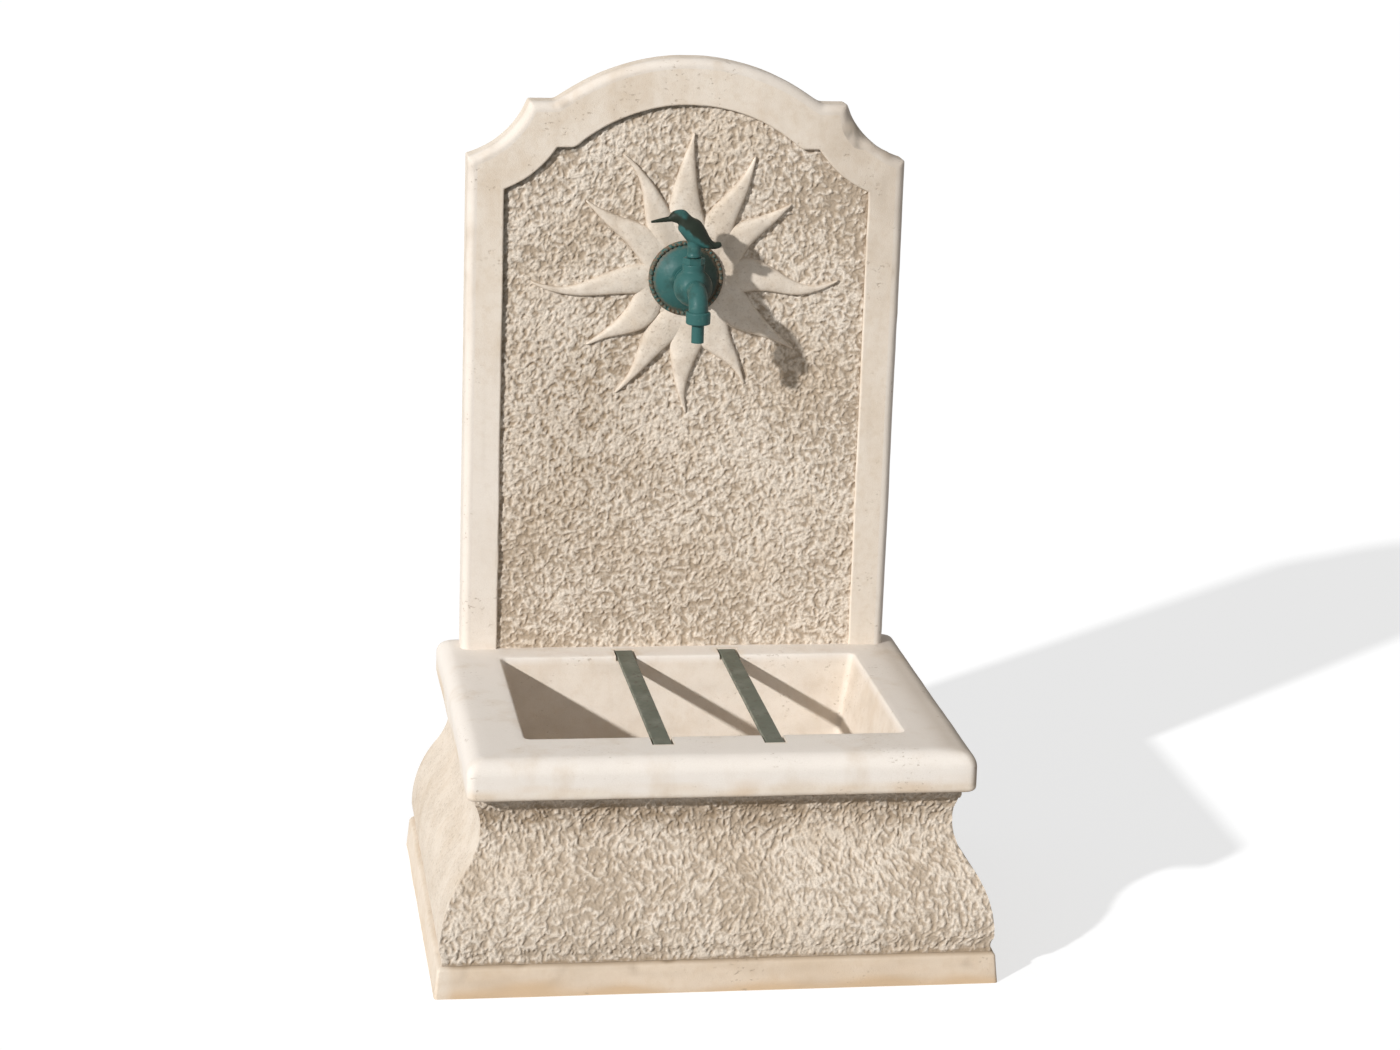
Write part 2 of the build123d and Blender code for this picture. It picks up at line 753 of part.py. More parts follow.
# Bird handle: body lofted from face to tail, a beak, and a hub with a square socket
with BuildPart() as bird_handle:
    for along, above, half_height, half_width, heading in bird_body:
        turn = math.radians(heading)
        with BuildSketch(
            Plane(
                origin=(along, stem_y, hub_foot + above),
                x_dir=(0, 1, 0),
                z_dir=(math.cos(turn), 0, math.sin(turn)),
            )
        ):
            Ellipse(half_width, half_height)
    loft()
    beak_axis = (beak_root[0] - beak_tip[0], 0, beak_root[1] - beak_tip[1])
    for (along, above), radius in ((beak_tip, beak_tip_radius), (beak_root, beak_root_radius)):
        with BuildSketch(
            Plane(origin=(along, stem_y, hub_foot + above), x_dir=(0, 1, 0), z_dir=beak_axis)
        ):
            Circle(radius)
    loft(ruled=True)
    with BuildSketch(stem_plane(hub_foot)):
        Circle(hub_radius)
    extrude(amount=hub_height)
    with BuildSketch(stem_plane(hub_foot)):
        Rectangle(stem_square + 2 * hub_socket_play, stem_square + 2 * hub_socket_play)
    extrude(amount=stem_square_length + hub_socket_play, mode=Mode.SUBTRACT)
    with BuildSketch(
        Plane(origin=(0, stem_y, hub_foot + set_screw_height), x_dir=(1, 0, 0), z_dir=(0, 1, 0))
    ):
        Circle(set_screw_radius + thread_play)
    extrude(amount=hub_radius, mode=Mode.SUBTRACT)
bird_handle.part.label = "bird_handle"
export_step(bird_handle.part, "parts/bird_handle.step")

# Handle screw: set screw behind the hub, down to the stem's square
with BuildPart() as handle_screw:
    with BuildSketch(
        Plane(
            origin=(0, stem_y + stem_square / 2, hub_foot + set_screw_height),
            x_dir=(1, 0, 0),
            z_dir=(0, 1, 0),
        )
    ):
        Circle(set_screw_radius)
    extrude(amount=hub_radius - stem_square / 2)
handle_screw.part.label = "handle_screw"
export_step(handle_screw.part, "parts/handle_screw.step")

# Spout washer: between the spout's end and the nozzle's flange
with BuildPart() as spout_washer:
    with BuildSketch(nozzle_plane(nozzle_flange_top)):
        ring(nozzle_flange_radius, port_radius)
    extrude(amount=spout_washer_thickness)
spout_washer.part.label = "spout_washer"
export_step(spout_washer.part, "parts/spout_washer.step")

# Spout nozzle: straight tube with a flange held by the collar
with BuildPart() as spout_nozzle:
    with BuildSketch(nozzle_plane(nozzle_shoulder)):
        Circle(nozzle_flange_radius)
    extrude(amount=nozzle_flange_thickness)
    with BuildSketch(nozzle_plane(collar_foot)):
        Circle(nozzle_radius - nozzle_neck_relief)
    extrude(amount=collar_lip)
    with BuildSketch(nozzle_plane(nozzle_end)):
        Circle(nozzle_radius)
    extrude(amount=nozzle_length)
    with BuildSketch(nozzle_plane(nozzle_end)):
        Circle(port_radius)
    extrude(amount=nozzle_flange_top - nozzle_end, mode=Mode.SUBTRACT)
spout_nozzle.part.label = "spout_nozzle"
export_step(spout_nozzle.part, "parts/spout_nozzle.step")

# Spout collar: rounded union nut with a lip under the nozzle's flange
with BuildPart() as spout_collar:
    with BuildSketch(nozzle_plane(collar_foot)):
        Circle(collar_radius)
    extrude(amount=bend_end - collar_foot)
    fillet(spout_collar.edges(), collar_round)
    with BuildSketch(nozzle_plane(nozzle_shoulder)):
        Circle(spout_tube_radius + collar_play)
    extrude(amount=bend_end - nozzle_shoulder, mode=Mode.SUBTRACT)
    with BuildSketch(nozzle_plane(collar_foot)):
        Circle(nozzle_radius + collar_play)
    extrude(amount=collar_lip, mode=Mode.SUBTRACT)
spout_collar.part.label = "spout_collar"
export_step(spout_collar.part, "parts/spout_collar.step")

# Drain gasket: between the basin's floor and the flange of the waste
with BuildPart() as drain_gasket:
    with BuildSketch(drain_plane(drain_seat)):
        ring(drain_flange_radius, drain_tail_radius + thread_play)
    extrude(amount=drain_gasket_thickness)
drain_gasket.part.label = "drain_gasket"
export_step(drain_gasket.part, "parts/drain_gasket.step")

# Drain tail: flange with a cup for the strainer, a threaded tail, and a bridge for the screw
with BuildPart() as drain_tail:
    with BuildSketch(drain_plane(drain_tail_top)):
        Circle(drain_flange_radius)
    extrude(amount=drain_flange_thickness)
    with BuildSketch(drain_plane(drain_nut_foot)):
        Circle(drain_tail_radius - drain_tail_relief)
    extrude(amount=drain_tail_top - drain_nut_foot)
    with BuildSketch(drain_plane(drain_tail_end)):
        Circle(drain_tail_radius)
    extrude(amount=drain_nut_foot - drain_tail_end)
    with BuildSketch(drain_plane(strainer_seat)):
        Circle(drain_cup_radius)
    extrude(amount=drain_cup_depth, mode=Mode.SUBTRACT)
    with BuildSketch(drain_plane(drain_tail_end)):
        Circle(drain_tail_bore)
    extrude(amount=strainer_seat - drain_tail_end, mode=Mode.SUBTRACT)
    with BuildSketch(drain_plane(bridge_top - drain_bridge_height)):
        Rectangle(drain_tail_bore + drain_tail_radius, drain_bridge_width)
    extrude(amount=drain_bridge_height)
    with BuildSketch(drain_plane(bridge_top)):
        Circle(drain_screw_radius + thread_play)
    extrude(amount=-drain_screw_grip, mode=Mode.SUBTRACT)
drain_tail.part.label = "drain_tail"
export_step(drain_tail.part, "parts/drain_tail.step")

# Drain strainer: round plate with radial slots
with BuildPart() as drain_strainer:
    with BuildSketch(drain_plane(strainer_seat)):
        Circle(drain_cup_radius - strainer_play)
        Circle(drain_screw_radius + thread_play, mode=Mode.SUBTRACT)
        with PolarLocations((strainer_slot_inner + strainer_slot_outer) / 2, strainer_slots):
            SlotOverall(
                strainer_slot_outer - strainer_slot_inner, strainer_slot_width, mode=Mode.SUBTRACT
            )
    extrude(amount=strainer_thickness)
drain_strainer.part.label = "drain_strainer"
export_step(drain_strainer.part, "parts/drain_strainer.step")

# Drain screw: holds the strainer down to the bridge
with BuildPart() as drain_screw:
    with BuildSketch(drain_plane(bridge_top - drain_screw_grip)):
        Circle(drain_screw_radius)
    extrude(amount=strainer_seat + strainer_thickness - bridge_top + drain_screw_grip)
    with BuildSketch(drain_plane(strainer_seat + strainer_thickness)):
        Circle(drain_screw_head_radius)
    extrude(amount=drain_screw_head_height)
drain_screw.part.label = "drain_screw"
export_step(drain_screw.part, "parts/drain_screw.step")

# Drain washer and backnut: clamp the waste from under the basin
with BuildPart() as drain_washer:
    with BuildSketch(drain_plane(drain_nut_top)):
        ring(drain_washer_radius, drain_tail_radius + thread_play)
    extrude(amount=drain_washer_thickness)
drain_washer.part.label = "drain_washer"
export_step(drain_washer.part, "parts/drain_washer.step")

with BuildPart() as drain_backnut:
    with BuildSketch(drain_plane(drain_nut_foot)):
        RegularPolygon(drain_backnut_flats / 2, 6, major_radius=False)
        Circle(drain_tail_radius - drain_tail_relief + thread_play, mode=Mode.SUBTRACT)
    extrude(amount=drain_backnut_height)
drain_backnut.part.label = "drain_backnut"
export_step(drain_backnut.part, "parts/drain_backnut.step")
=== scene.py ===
"""Garden fountain: cast stone with hammered faces, a painted bib tap with a bird handle, iron bars.

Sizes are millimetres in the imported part's own frame; meshes are written in metres.
"""
import json
import logging
import math
from dataclasses import dataclass, field
from enum import Enum
from itertools import product

import bmesh
import bpy
import numpy as np
from bpy.types import ID, Material, Mesh, Node, NodeSocket, Object, World
from mathutils import Matrix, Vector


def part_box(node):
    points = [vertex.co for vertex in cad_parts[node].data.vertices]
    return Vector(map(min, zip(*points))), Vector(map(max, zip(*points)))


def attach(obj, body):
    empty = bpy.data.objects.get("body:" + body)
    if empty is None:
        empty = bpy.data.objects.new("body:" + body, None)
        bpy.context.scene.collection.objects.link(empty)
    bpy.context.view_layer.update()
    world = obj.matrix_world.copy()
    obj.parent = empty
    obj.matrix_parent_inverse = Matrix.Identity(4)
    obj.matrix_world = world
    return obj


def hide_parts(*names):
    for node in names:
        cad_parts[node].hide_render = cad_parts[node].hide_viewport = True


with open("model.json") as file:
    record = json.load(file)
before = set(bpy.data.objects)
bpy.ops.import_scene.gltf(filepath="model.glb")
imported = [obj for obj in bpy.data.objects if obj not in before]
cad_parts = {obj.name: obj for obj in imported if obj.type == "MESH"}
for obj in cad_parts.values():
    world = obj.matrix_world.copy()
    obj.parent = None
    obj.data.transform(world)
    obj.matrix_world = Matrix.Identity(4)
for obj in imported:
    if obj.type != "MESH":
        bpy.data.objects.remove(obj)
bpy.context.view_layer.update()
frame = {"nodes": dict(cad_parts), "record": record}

log = logging.getLogger("fountain")
Array = np.ndarray
Colour = tuple[float, float, float, float]
Point = tuple[float, float, float]
Span = tuple[float, float]
Rows = tuple[tuple[float, ...], ...]
Value = NodeSocket | float
Inputs = dict[str | int, object]
WHITE: Colour = (1, 1, 1, 1)
MM = 0.001
WELD = 1e-6
POLE = 1e-3
CREASE = 55.0
HAMMERED_CREASE = 89.0
OVERCUT = 1.0
TAP_Z = 703.5
STEM_Y = 112.0


class Body(Enum):
    """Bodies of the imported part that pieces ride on."""

    FOUNTAIN = "fountain"
    HANDLE = "handle"
    BAR_LEFT = "bar_left"
    BAR_RIGHT = "bar_right"


class Slot(Enum):
    """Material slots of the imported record."""

    STONE = "cast_stone"
    IRON = "bar_iron"
    PAINT = "tap_green"
    BRASS = "brass"
    STEEL = "steel"
    CHROME = "chrome"
    SEAT = "seat_white"
    RUBBER = "seal_rubber"


class Turning(Enum):
    """Axis of a turned shape, then the two directions across it."""

    FRONT = ((0, -1, 0), (1, 0, 0), (0, 0, 1))
    UP = ((0, 0, 1), (1, 0, 0), (0, 1, 0))


class Layer(Enum):
    """Layers of the hammered noise, so far apart that none repeats another."""

    COARSE = 0.3
    WARP_ACROSS = 20.5
    WARP_UP = 24.5
    FINE = 33.7
    LEAD = 40.5
    GRIT = 60.5
    DENT = 80.5
    SLOW = 90.5


def node_box(node: str) -> tuple[Array, Array]:
    """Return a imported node's lowest and highest corners in millimetres."""
    low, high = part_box(node)
    return np.array(low) / MM, np.array(high) / MM


def joined(*columns: Array | float) -> Array:
    """Stack columns as the last axis, each spread to the shape that they share."""
    return np.stack(np.broadcast_arrays(*columns), axis=-1)


def quarter(radius: float, count: int) -> tuple[Array, Array]:
    """Return a quarter round as r(1 - cos a) and r(1 - sin a), for equal steps of a."""
    turn = np.linspace(0, np.pi / 2, count)
    return radius * (1 - np.cos(turn)), radius * (1 - np.sin(turn))


def ease(low: float, high: float, value: Array) -> Array:
    """Rise smoothly from 0 at low to 1 at high: 3t^2 - 2t^3 of the clipped share t."""
    share = np.clip((value - low) / (high - low), 0, 1)
    return share * share * (3 - 2 * share)


def through_points(stations: Array, count: int) -> Array:
    """Carry rows of values smoothly through stations.

    Each span is a cubic whose slope at a station is half the step between its neighbours.

    Args:
        stations: One row of values per station.
        count: Number of rows wanted.

    Returns:
        Rows from the first station to the last.
    """
    spot = np.linspace(0, len(stations) - 1, count)
    span = np.minimum(spot.astype(int), len(stations) - 2)
    t = (spot - span)[:, None]
    slope = np.gradient(stations, axis=0)
    start, end = stations[span], stations[span + 1]
    leave, arrive = slope[span], slope[span + 1]
    bend = start * (2 * t**3 - 3 * t**2 + 1) + end * (3 * t**2 - 2 * t**3)
    return bend + leave * (t**3 - 2 * t**2 + t) + arrive * (t**3 - t**2)


def upright_arc(anchor: Span, through: Span, z: Array) -> Array:
    """Follow the circle that is upright at one point and passes through another.

    With run r and rise h between the points its radius is (r^2 + h^2) / 2r.

    Args:
        anchor: Reach and height where the circle is upright.
        through: Reach and height of the other point.
        z: Heights to look up.

    Returns:
        Reach of the circle at those heights.
    """
    run = through[0] - anchor[0]
    radius = (run**2 + (through[1] - anchor[1]) ** 2) / (2 * abs(run))
    return anchor[0] + np.sign(run) * (radius - np.sqrt(radius**2 - (z - anchor[1]) ** 2))


class Lattice:
    """Smooth noise from random slopes on a lattice of whole numbers."""

    def __init__(self, seed: int) -> None:
        """Draw the shuffled table and the slopes that the noise looks up.

        Args:
            seed: Seed of the draws.
        """
        draw = np.random.default_rng(seed)
        self.shuffle = draw.permutation(256)
        slopes = draw.normal(size=(256, 3))
        self.slopes = slopes / np.linalg.norm(slopes, axis=1, keepdims=True)

    def at(self, points: Array) -> Array:
        """Blend the eight slopes around each point by the fade 6t^5 - 15t^4 + 10t^3.

        Args:
            points: Places with three values each, one lattice cell per unit.

        Returns:
            Noise of about -0.6 to 0.6 at each place.
        """
        cell = np.floor(points).astype(int)
        local = points - cell
        fade = local**3 * (local * (local * 6 - 15) + 10)
        total = np.zeros(points.shape[:-1])
        for corner in product((0, 1), repeat=3):
            spot = (cell + corner) & 255
            pick = self.shuffle[(self.shuffle[spot[..., 0]] + spot[..., 1]) & 255]
            pick = self.shuffle[(pick + spot[..., 2]) & 255]
            weight = np.prod(np.where(corner, fade, 1 - fade), axis=-1)
            total += weight * np.sum(self.slopes[pick] * (local - corner), axis=-1)
        return total

    def over(self, across: Array, up: Array, layer: float = 0.0) -> Array:
        """Return the noise over a flat face, on one of its layers."""
        return self.at(joined(across, up, layer))


def patches(grid: Array, seed: int, pitch: float | Point, low: float, high: float) -> Array:
    """Return ragged patches: noise of a pitch, eased from 0 at one of its values to 1 at another."""
    return ease(low, high, Lattice(seed).at(grid / np.array(pitch)))


@dataclass(frozen=True)
class Hammered:
    """Stippled stone face: cream crumbs and ridges around hollows that hold brown soil."""

    seed: int
    pitch: float = 6.0
    fine_pitch: float = 3.3
    grit_pitch: float = 2.6
    dent_pitch: float = 18.0
    slow_pitch: float = 78.0
    fine_share: float = 0.75
    grit_share: float = 0.5
    slow_share: float = 0.42
    steep: float = 2.2
    crumb: float = 1.25
    ridge: float = 0.45
    grit: float = 0.3
    dent: float = 0.8
    blur: float = 0.36
    soil: float = 0.8
    stretch: float = 1.3
    turn_pitch: float = 50.0
    turn_contrast: float = 5.5
    warp_pitch: float = 11.0
    warp: float = 3.6
    layer_step: float = 7.3
    headings: tuple[float, ...] = (0.0, 45.0, 90.0, 135.0)

    def flow(self, noise: Lattice, across: Array, up: Array, pitch: float, layer: Layer) -> Array:
        """Blend stretched noise over the headings.

        Noise stretched along each heading is weighted by the exponential of a slow noise, so
        that one heading leads in each patch.

        Args:
            noise: The noise to look up.
            across: Places along the face.
            up: Places up the face.
            pitch: Size of one cell across the heading.
            layer: Layer of the noise, so that two pitches differ.

        Returns:
            Noise of about -1 to 1.
        """
        total = np.zeros_like(across)
        power = np.zeros_like(across)
        for turn, heading in enumerate(np.radians(self.headings)):
            along = (across * np.cos(heading) + up * np.sin(heading)) / (pitch * self.stretch)
            aside = (up * np.cos(heading) - across * np.sin(heading)) / pitch
            lead = noise.over(across / self.turn_pitch, up / self.turn_pitch, Layer.LEAD.value + turn)
            weight = np.exp(self.turn_contrast * lead)
            total += weight * noise.over(along, aside, layer.value + turn * self.layer_step)
            power += weight**2
        return total / np.sqrt(power)

    def stipple(self, across: Array, up: Array, bias: Array | float = 0.0) -> tuple[Array, Array]:
        """Return the relief in millimetres and the share of soil.

        The places are warped by a noise. Coarse, fine and gritty noise and the bias add up to
        one value; its hyperbolic tangent gives crumbs with steep sides, and soil lies where it
        is below zero. Ridges, grit and wide dents are added to the relief.

        Args:
            across: Places along the face.
            up: Places up the face.
            bias: Above zero for more crumbs, below zero for more soil.

        Returns:
            Height above the face, and the share of soil from 0 to 1.
        """
        noise = Lattice(self.seed)

        def plain(pitch: float, layer: Layer, x: Array = across, z: Array = up) -> Array:
            """Return the noise of one pitch on a layer."""
            return noise.over(x / pitch, z / pitch, layer.value)

        x = across + self.warp * plain(self.warp_pitch, Layer.WARP_ACROSS)
        z = up + self.warp * plain(self.warp_pitch, Layer.WARP_UP)
        coarse = self.flow(noise, x, z, self.pitch, Layer.COARSE)
        fine = self.flow(noise, x, z, self.fine_pitch, Layer.FINE)
        grit = plain(self.grit_pitch, Layer.GRIT, x, z)
        slow = plain(self.slow_pitch, Layer.SLOW)
        dent = plain(self.dent_pitch, Layer.DENT)
        mound = coarse + self.fine_share * fine + self.grit_share * grit + self.slow_share * slow + bias
        relief = self.crumb * np.tanh(self.steep * mound)
        relief += self.ridge * fine + self.grit * grit + self.dent * dent
        return relief, self.soil * (1 - ease(-self.blur, self.blur, mound))


@dataclass
class Shell:
    """Points of a shape with the faces between them and named values at the points."""

    points: Array
    quads: Array
    caps: list[Array] = field(default_factory=list)
    marks: dict[str, Array] = field(default_factory=dict)

    @classmethod
    def of_grid(
        cls, grid: Array, ring: bool = True, torus: bool = False, capped: bool = False, **marks: Array
    ) -> "Shell":
        """Join a grid of points by quads.

        Args:
            grid: Points as rows, columns and three coordinates.
            ring: Whether the last column joins the first.
            torus: Whether the last row joins the first.
            capped: Whether the first and last rows are closed by one face each.
            **marks: Values named for the points, as rows and columns.

        Returns:
            The shell of that grid.
        """
        rows, columns = grid.shape[:2]
        index = np.arange(rows * columns).reshape(rows, columns)
        caps = [index[0][::-1], index[-1]] if capped else []
        index = np.vstack([index, index[:1]]) if torus else index
        index = np.hstack([index, index[:, :1]]) if ring else index
        corners = [index[:-1, :-1], index[:-1, 1:], index[1:, 1:], index[1:, :-1]]
        values = {name: np.broadcast_to(value, (rows, columns)).ravel() for name, value in marks.items()}
        return cls(grid.reshape(-1, 3), np.stack(corners, axis=-1).reshape(-1, 4), caps, values)

    @classmethod
    def slab(cls, face: Array, behind: Array, **marks: Array) -> "Shell":
        """Close a face of points with walls around it and a plain back.

        Args:
            face: Points of the face as rows, columns and three coordinates.
            behind: Points of the back in the same layout, of which only the border is used.
            **marks: Values named for the face's points, which are zero behind it.

        Returns:
            The closed slab.
        """
        rows, columns = face.shape[:2]
        shell = cls.of_grid(face, ring=False, **marks)
        index = np.arange(rows * columns).reshape(rows, columns)
        border = np.concatenate([index[0], index[1:-1, -1], index[-1, ::-1], index[-2:0:-1, 0]])
        shadow = np.zeros(rows * columns, int)
        shadow[border] = rows * columns + np.arange(len(border))
        walls = [border, np.roll(border, -1), shadow[np.roll(border, -1)], shadow[border]]
        back = shadow.reshape(rows, columns)
        left, right = back[1:-1, 0], back[1:-1, -1]
        strips = np.stack([right[:-1], left[:-1], left[1:], right[1:]], axis=1)
        shell.points = np.concatenate([shell.points, behind.reshape(-1, 3)[border]])
        shell.quads = np.concatenate([shell.quads, np.stack(walls, axis=1), strips])
        shell.caps = [np.append(back[0], [right[0], left[0]]), np.append(back[-1], [right[-1], left[-1]])]
        none = np.zeros(len(border))
        shell.marks = {name: np.append(value, none) for name, value in shell.marks.items()}
        return shell

    @classmethod
    def block(cls, low: Point, high: Point) -> "Shell":
        """Make a box.

        Args:
            low: Its lowest corner.
            high: Its highest corner.

        Returns:
            The closed box.
        """
        x, y, z = zip(low, high)
        grid = [[(x[i], y[j], level) for i, j in ((0, 0), (1, 0), (1, 1), (0, 1))] for level in z]
        return cls.of_grid(np.array(grid, float), capped=True)

    @classmethod
    def turned(
        cls, profile: Array, centre: Array, turning: Turning, sides: int = 96, **marks: Array
    ) -> "Shell":
        """Turn a profile about an axis and close its ends.

        Args:
            profile: Rows of radius and place along the axis.
            centre: Point that the places are counted from.
            turning: Axis with its two directions across.
            sides: Number of columns around.
            **marks: Values named for the profile's rows.

        Returns:
            The turned shell.
        """
        axis, first, second = np.array(turning.value, float)
        angle = np.linspace(0, 2 * np.pi, sides, endpoint=False)[:, None]
        circle = np.cos(angle) * first + np.sin(angle) * second
        grid = centre + profile[:, 1, None, None] * axis + profile[:, 0, None, None] * circle
        columns = {name: value[:, None] for name, value in marks.items()}
        return cls.of_grid(grid, capped=True, **columns)

    @classmethod
    def tube(
        cls, path: Array, across: Array, side: Array, height: Array, width: Array, sides: int = 48
    ) -> "Shell":
        """Carry an ellipse along a path that lies in a plane.

        Args:
            path: Points of the path.
            across: Direction square to the path's plane.
            side: Direction of the ellipse in the plane, one row per point.
            height: Half size along side, per point.
            width: Half size along across, per point.
            sides: Number of columns around.

        Returns:
            The tube with closed ends.
        """
        angle = np.linspace(0, 2 * np.pi, sides, endpoint=False)[None, :, None]
        up = side[:, None, :] * height[:, None, None] * np.sin(angle)
        out = across * width[:, None, None] * np.cos(angle)
        return cls.of_grid(path[:, None, :] + up + out, capped=True)


def piece_of(name: str, shells: list[Shell], sharp: float = CREASE) -> Object:
    """Write shells as one mesh object at the origin.

    Args:
        name: The piece's name.
        shells: Closed shells in millimetres.
        sharp: Angle in degrees past which an edge isn't shaded smooth.

    Returns:
        The new object.
    """
    starts = np.cumsum([0] + [len(shell.points) for shell in shells])
    faces = [row for shell, start in zip(shells, starts) for row in (shell.quads + start).tolist()]
    faces += [(cap + start).tolist() for shell, start in zip(shells, starts) for cap in shell.caps]
    mesh = bpy.data.meshes.new(name)
    mesh.from_pydata(np.concatenate([shell.points for shell in shells]) * MM, [], faces)
    for mark in sorted({mark for shell in shells for mark in shell.marks}):
        values = [shell.marks.get(mark, np.zeros(len(shell.points))) for shell in shells]
        set_mark(mesh, mark, np.concatenate(values))
    weld(mesh)
    shade(mesh, sharp)
    return placed(name, mesh)


def placed(name: str, data: ID) -> Object:
    """Put a mesh, lamp or camera into the scene as an object.

    Args:
        name: The object's name.
        data: What the object shows.

    Returns:
        The object at the origin.
    """
    item = bpy.data.objects.new(name, data)
    bpy.context.scene.collection.objects.link(item)
    return item


def points_of(mesh: Mesh) -> Array:
    """Read a mesh's points.

    Args:
        mesh: The mesh.

    Returns:
        Rows of three coordinates in millimetres.
    """
    points = np.empty(3 * len(mesh.vertices), np.float32)
    mesh.vertices.foreach_get("co", points)
    return points.reshape(-1, 3) / MM


def set_mark(mesh: Mesh, name: str, values: Array) -> None:
    """Keep one value per point of a mesh under a name."""
    layer = mesh.attributes.new(name, "FLOAT", "POINT")
    layer.data.foreach_set("value", values.astype(np.float32))


def weld(mesh: Mesh) -> None:
    """Merge a mesh's doubled points and turn its faces outwards.

    Args:
        mesh: The mesh to mend.
    """
    shape = bmesh.new()
    shape.from_mesh(mesh)
    bmesh.ops.remove_doubles(shape, verts=shape.verts, dist=WELD)
    bmesh.ops.dissolve_degenerate(shape, edges=shape.edges, dist=WELD)
    bmesh.ops.recalc_face_normals(shape, faces=shape.faces)
    shape.to_mesh(mesh)
    shape.free()


def shade(mesh: Mesh, sharp: float) -> None:
    """Shade a mesh smooth up to an angle in degrees."""
    mesh.shade_smooth()
    mesh.set_sharp_from_angle(angle=math.radians(sharp))


def crisp_edge(piece: Object) -> None:
    """Shade the walls behind a hammered face flat, so that they don't smear its border.

    Args:
        piece: The hammered piece, whose mark for roughness is zero behind the face.
    """
    mesh = piece.data
    rough = np.empty(len(mesh.vertices), np.float32)
    corner = np.empty(len(mesh.loops), np.int32)
    start = np.empty(len(mesh.polygons), np.int32)
    mesh.attributes["rough"].data.foreach_get("value", rough)
    mesh.loops.foreach_get("vertex_index", corner)
    mesh.polygons.foreach_get("loop_start", start)
    mesh.polygons.foreach_set("use_smooth", np.minimum.reduceat(rough[corner], start) > 0.5)


def keep_modifiers(piece: Object) -> None:
    """Make a piece's modifiers part of its mesh, then shade it again.

    Args:
        piece: The piece with its modifiers.
    """
    graph = bpy.context.evaluated_depsgraph_get()
    shaped = bpy.data.meshes.new_from_object(piece.evaluated_get(graph))
    piece.modifiers.clear()
    spent = piece.data
    piece.data = shaped
    bpy.data.meshes.remove(spent)
    shaped.name = piece.name
    shade(shaped, CREASE)


def carve(piece: Object, tools: list[Shell]) -> None:
    """Cut closed shapes out of a piece.

    Args:
        piece: The piece to cut.
        tools: Shapes that don't overlap one another.
    """
    cutter = piece_of(piece.name + "_cutter", tools)
    cut = piece.modifiers.new("cut", "BOOLEAN")
    cut.operation = "DIFFERENCE"
    cut.solver = "MANIFOLD"
    cut.object = cutter
    keep_modifiers(piece)
    bpy.data.objects.remove(cutter)


def fuse(piece: Object, voxel: float, rounds: int) -> None:
    """Melt a piece's overlapping shells into one skin with soft creases.

    Args:
        piece: The piece to melt.
        voxel: Grain of the new skin in millimetres.
        rounds: How many times each point moves half way to its neighbours' middle.
    """
    skin = piece.modifiers.new("skin", "REMESH")
    skin.mode = "VOXEL"
    skin.voxel_size = voxel * MM
    soften = piece.modifiers.new("soften", "SMOOTH")
    soften.factor = 0.5
    soften.iterations = rounds
    keep_modifiers(piece)


def dress(piece: Object, material: Material, body: Body, slot: Slot, *nodes: str) -> None:
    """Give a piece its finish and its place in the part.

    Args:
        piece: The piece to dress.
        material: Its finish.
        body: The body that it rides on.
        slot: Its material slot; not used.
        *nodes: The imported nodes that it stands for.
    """
    piece.data.materials.clear()
    piece.data.materials.append(material)
    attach(piece, body.value)
    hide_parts(*nodes)
    log.info("%s: %d faces on %s", piece.name, len(piece.data.polygons), body.value)


def outward(grid: Array, ring: bool = True) -> Array:
    """Find a grid's unit normals: steps across the columns crossed with steps along the rows.

    Args:
        grid: Points as rows, columns and three coordinates.
        ring: Whether the last column joins the first.

    Returns:
        One normal per point.
    """
    around = np.roll(grid, -1, axis=1) - np.roll(grid, 1, axis=1) if ring else np.gradient(grid, axis=1)
    normal = np.cross(around, np.gradient(grid, axis=0))
    return normal / np.maximum(np.linalg.norm(normal, axis=-1, keepdims=True), WELD)


def wobble(grid: Array, seed: int, swell: float = 0.7, ripple: float = 0.25) -> Array:
    """Return how far a hand-finished face strays: slow noise over 75 mm and quick noise over 20 mm."""
    noise = Lattice(seed)
    return swell * noise.at(grid / 75.0) + ripple * noise.at(grid / 20.0)


@dataclass(frozen=True)
class LoopColumns:
    """Columns of rounded-rectangle loops, anticlockwise from above, starting at the front left."""

    front: int
    side: int
    rear: int
    corner: int

    def layout(self) -> tuple[Array, Array]:
        """Lay the columns out around the rectangle.

        Returns:
            Each column's shares across and in depth, and its outward angle.
        """
        corners = np.array([(-1, -1), (1, -1), (1, 1), (-1, 1), (-1, -1)], float)
        shares, angles = [], []
        for turn, count in enumerate((self.front, self.side, self.rear, self.side)):
            run = np.linspace(0, 1, count + 2)[1:-1, None]
            shares += [corners[turn] + (corners[turn + 1] - corners[turn]) * run]
            shares += [np.repeat(corners[turn + 1][None], self.corner, axis=0)]
            angles += [np.full(count, turn - 1.0), np.linspace(turn - 1.0, turn, self.corner)]
        return np.concatenate(shares), np.concatenate(angles) * np.pi / 2

    def loops(self, rows: Array) -> Array:
        """Place one loop per row.

        A point is its share of the rectangle less the corner radius, plus that radius along
        its outward angle.

        Args:
            rows: Half width, front, rear, corner radius and height of each loop.

        Returns:
            Points as rows, columns and three coordinates.
        """
        share, angle = self.layout()
        half, front, rear, radius, z = (column[:, None] for column in rows.T)
        x = share[:, 0] * (half - radius) + radius * np.cos(angle)
        y = (front + rear) / 2 + share[:, 1] * ((rear - front) / 2 - radius) + radius * np.sin(angle)
        return joined(x, y, z)


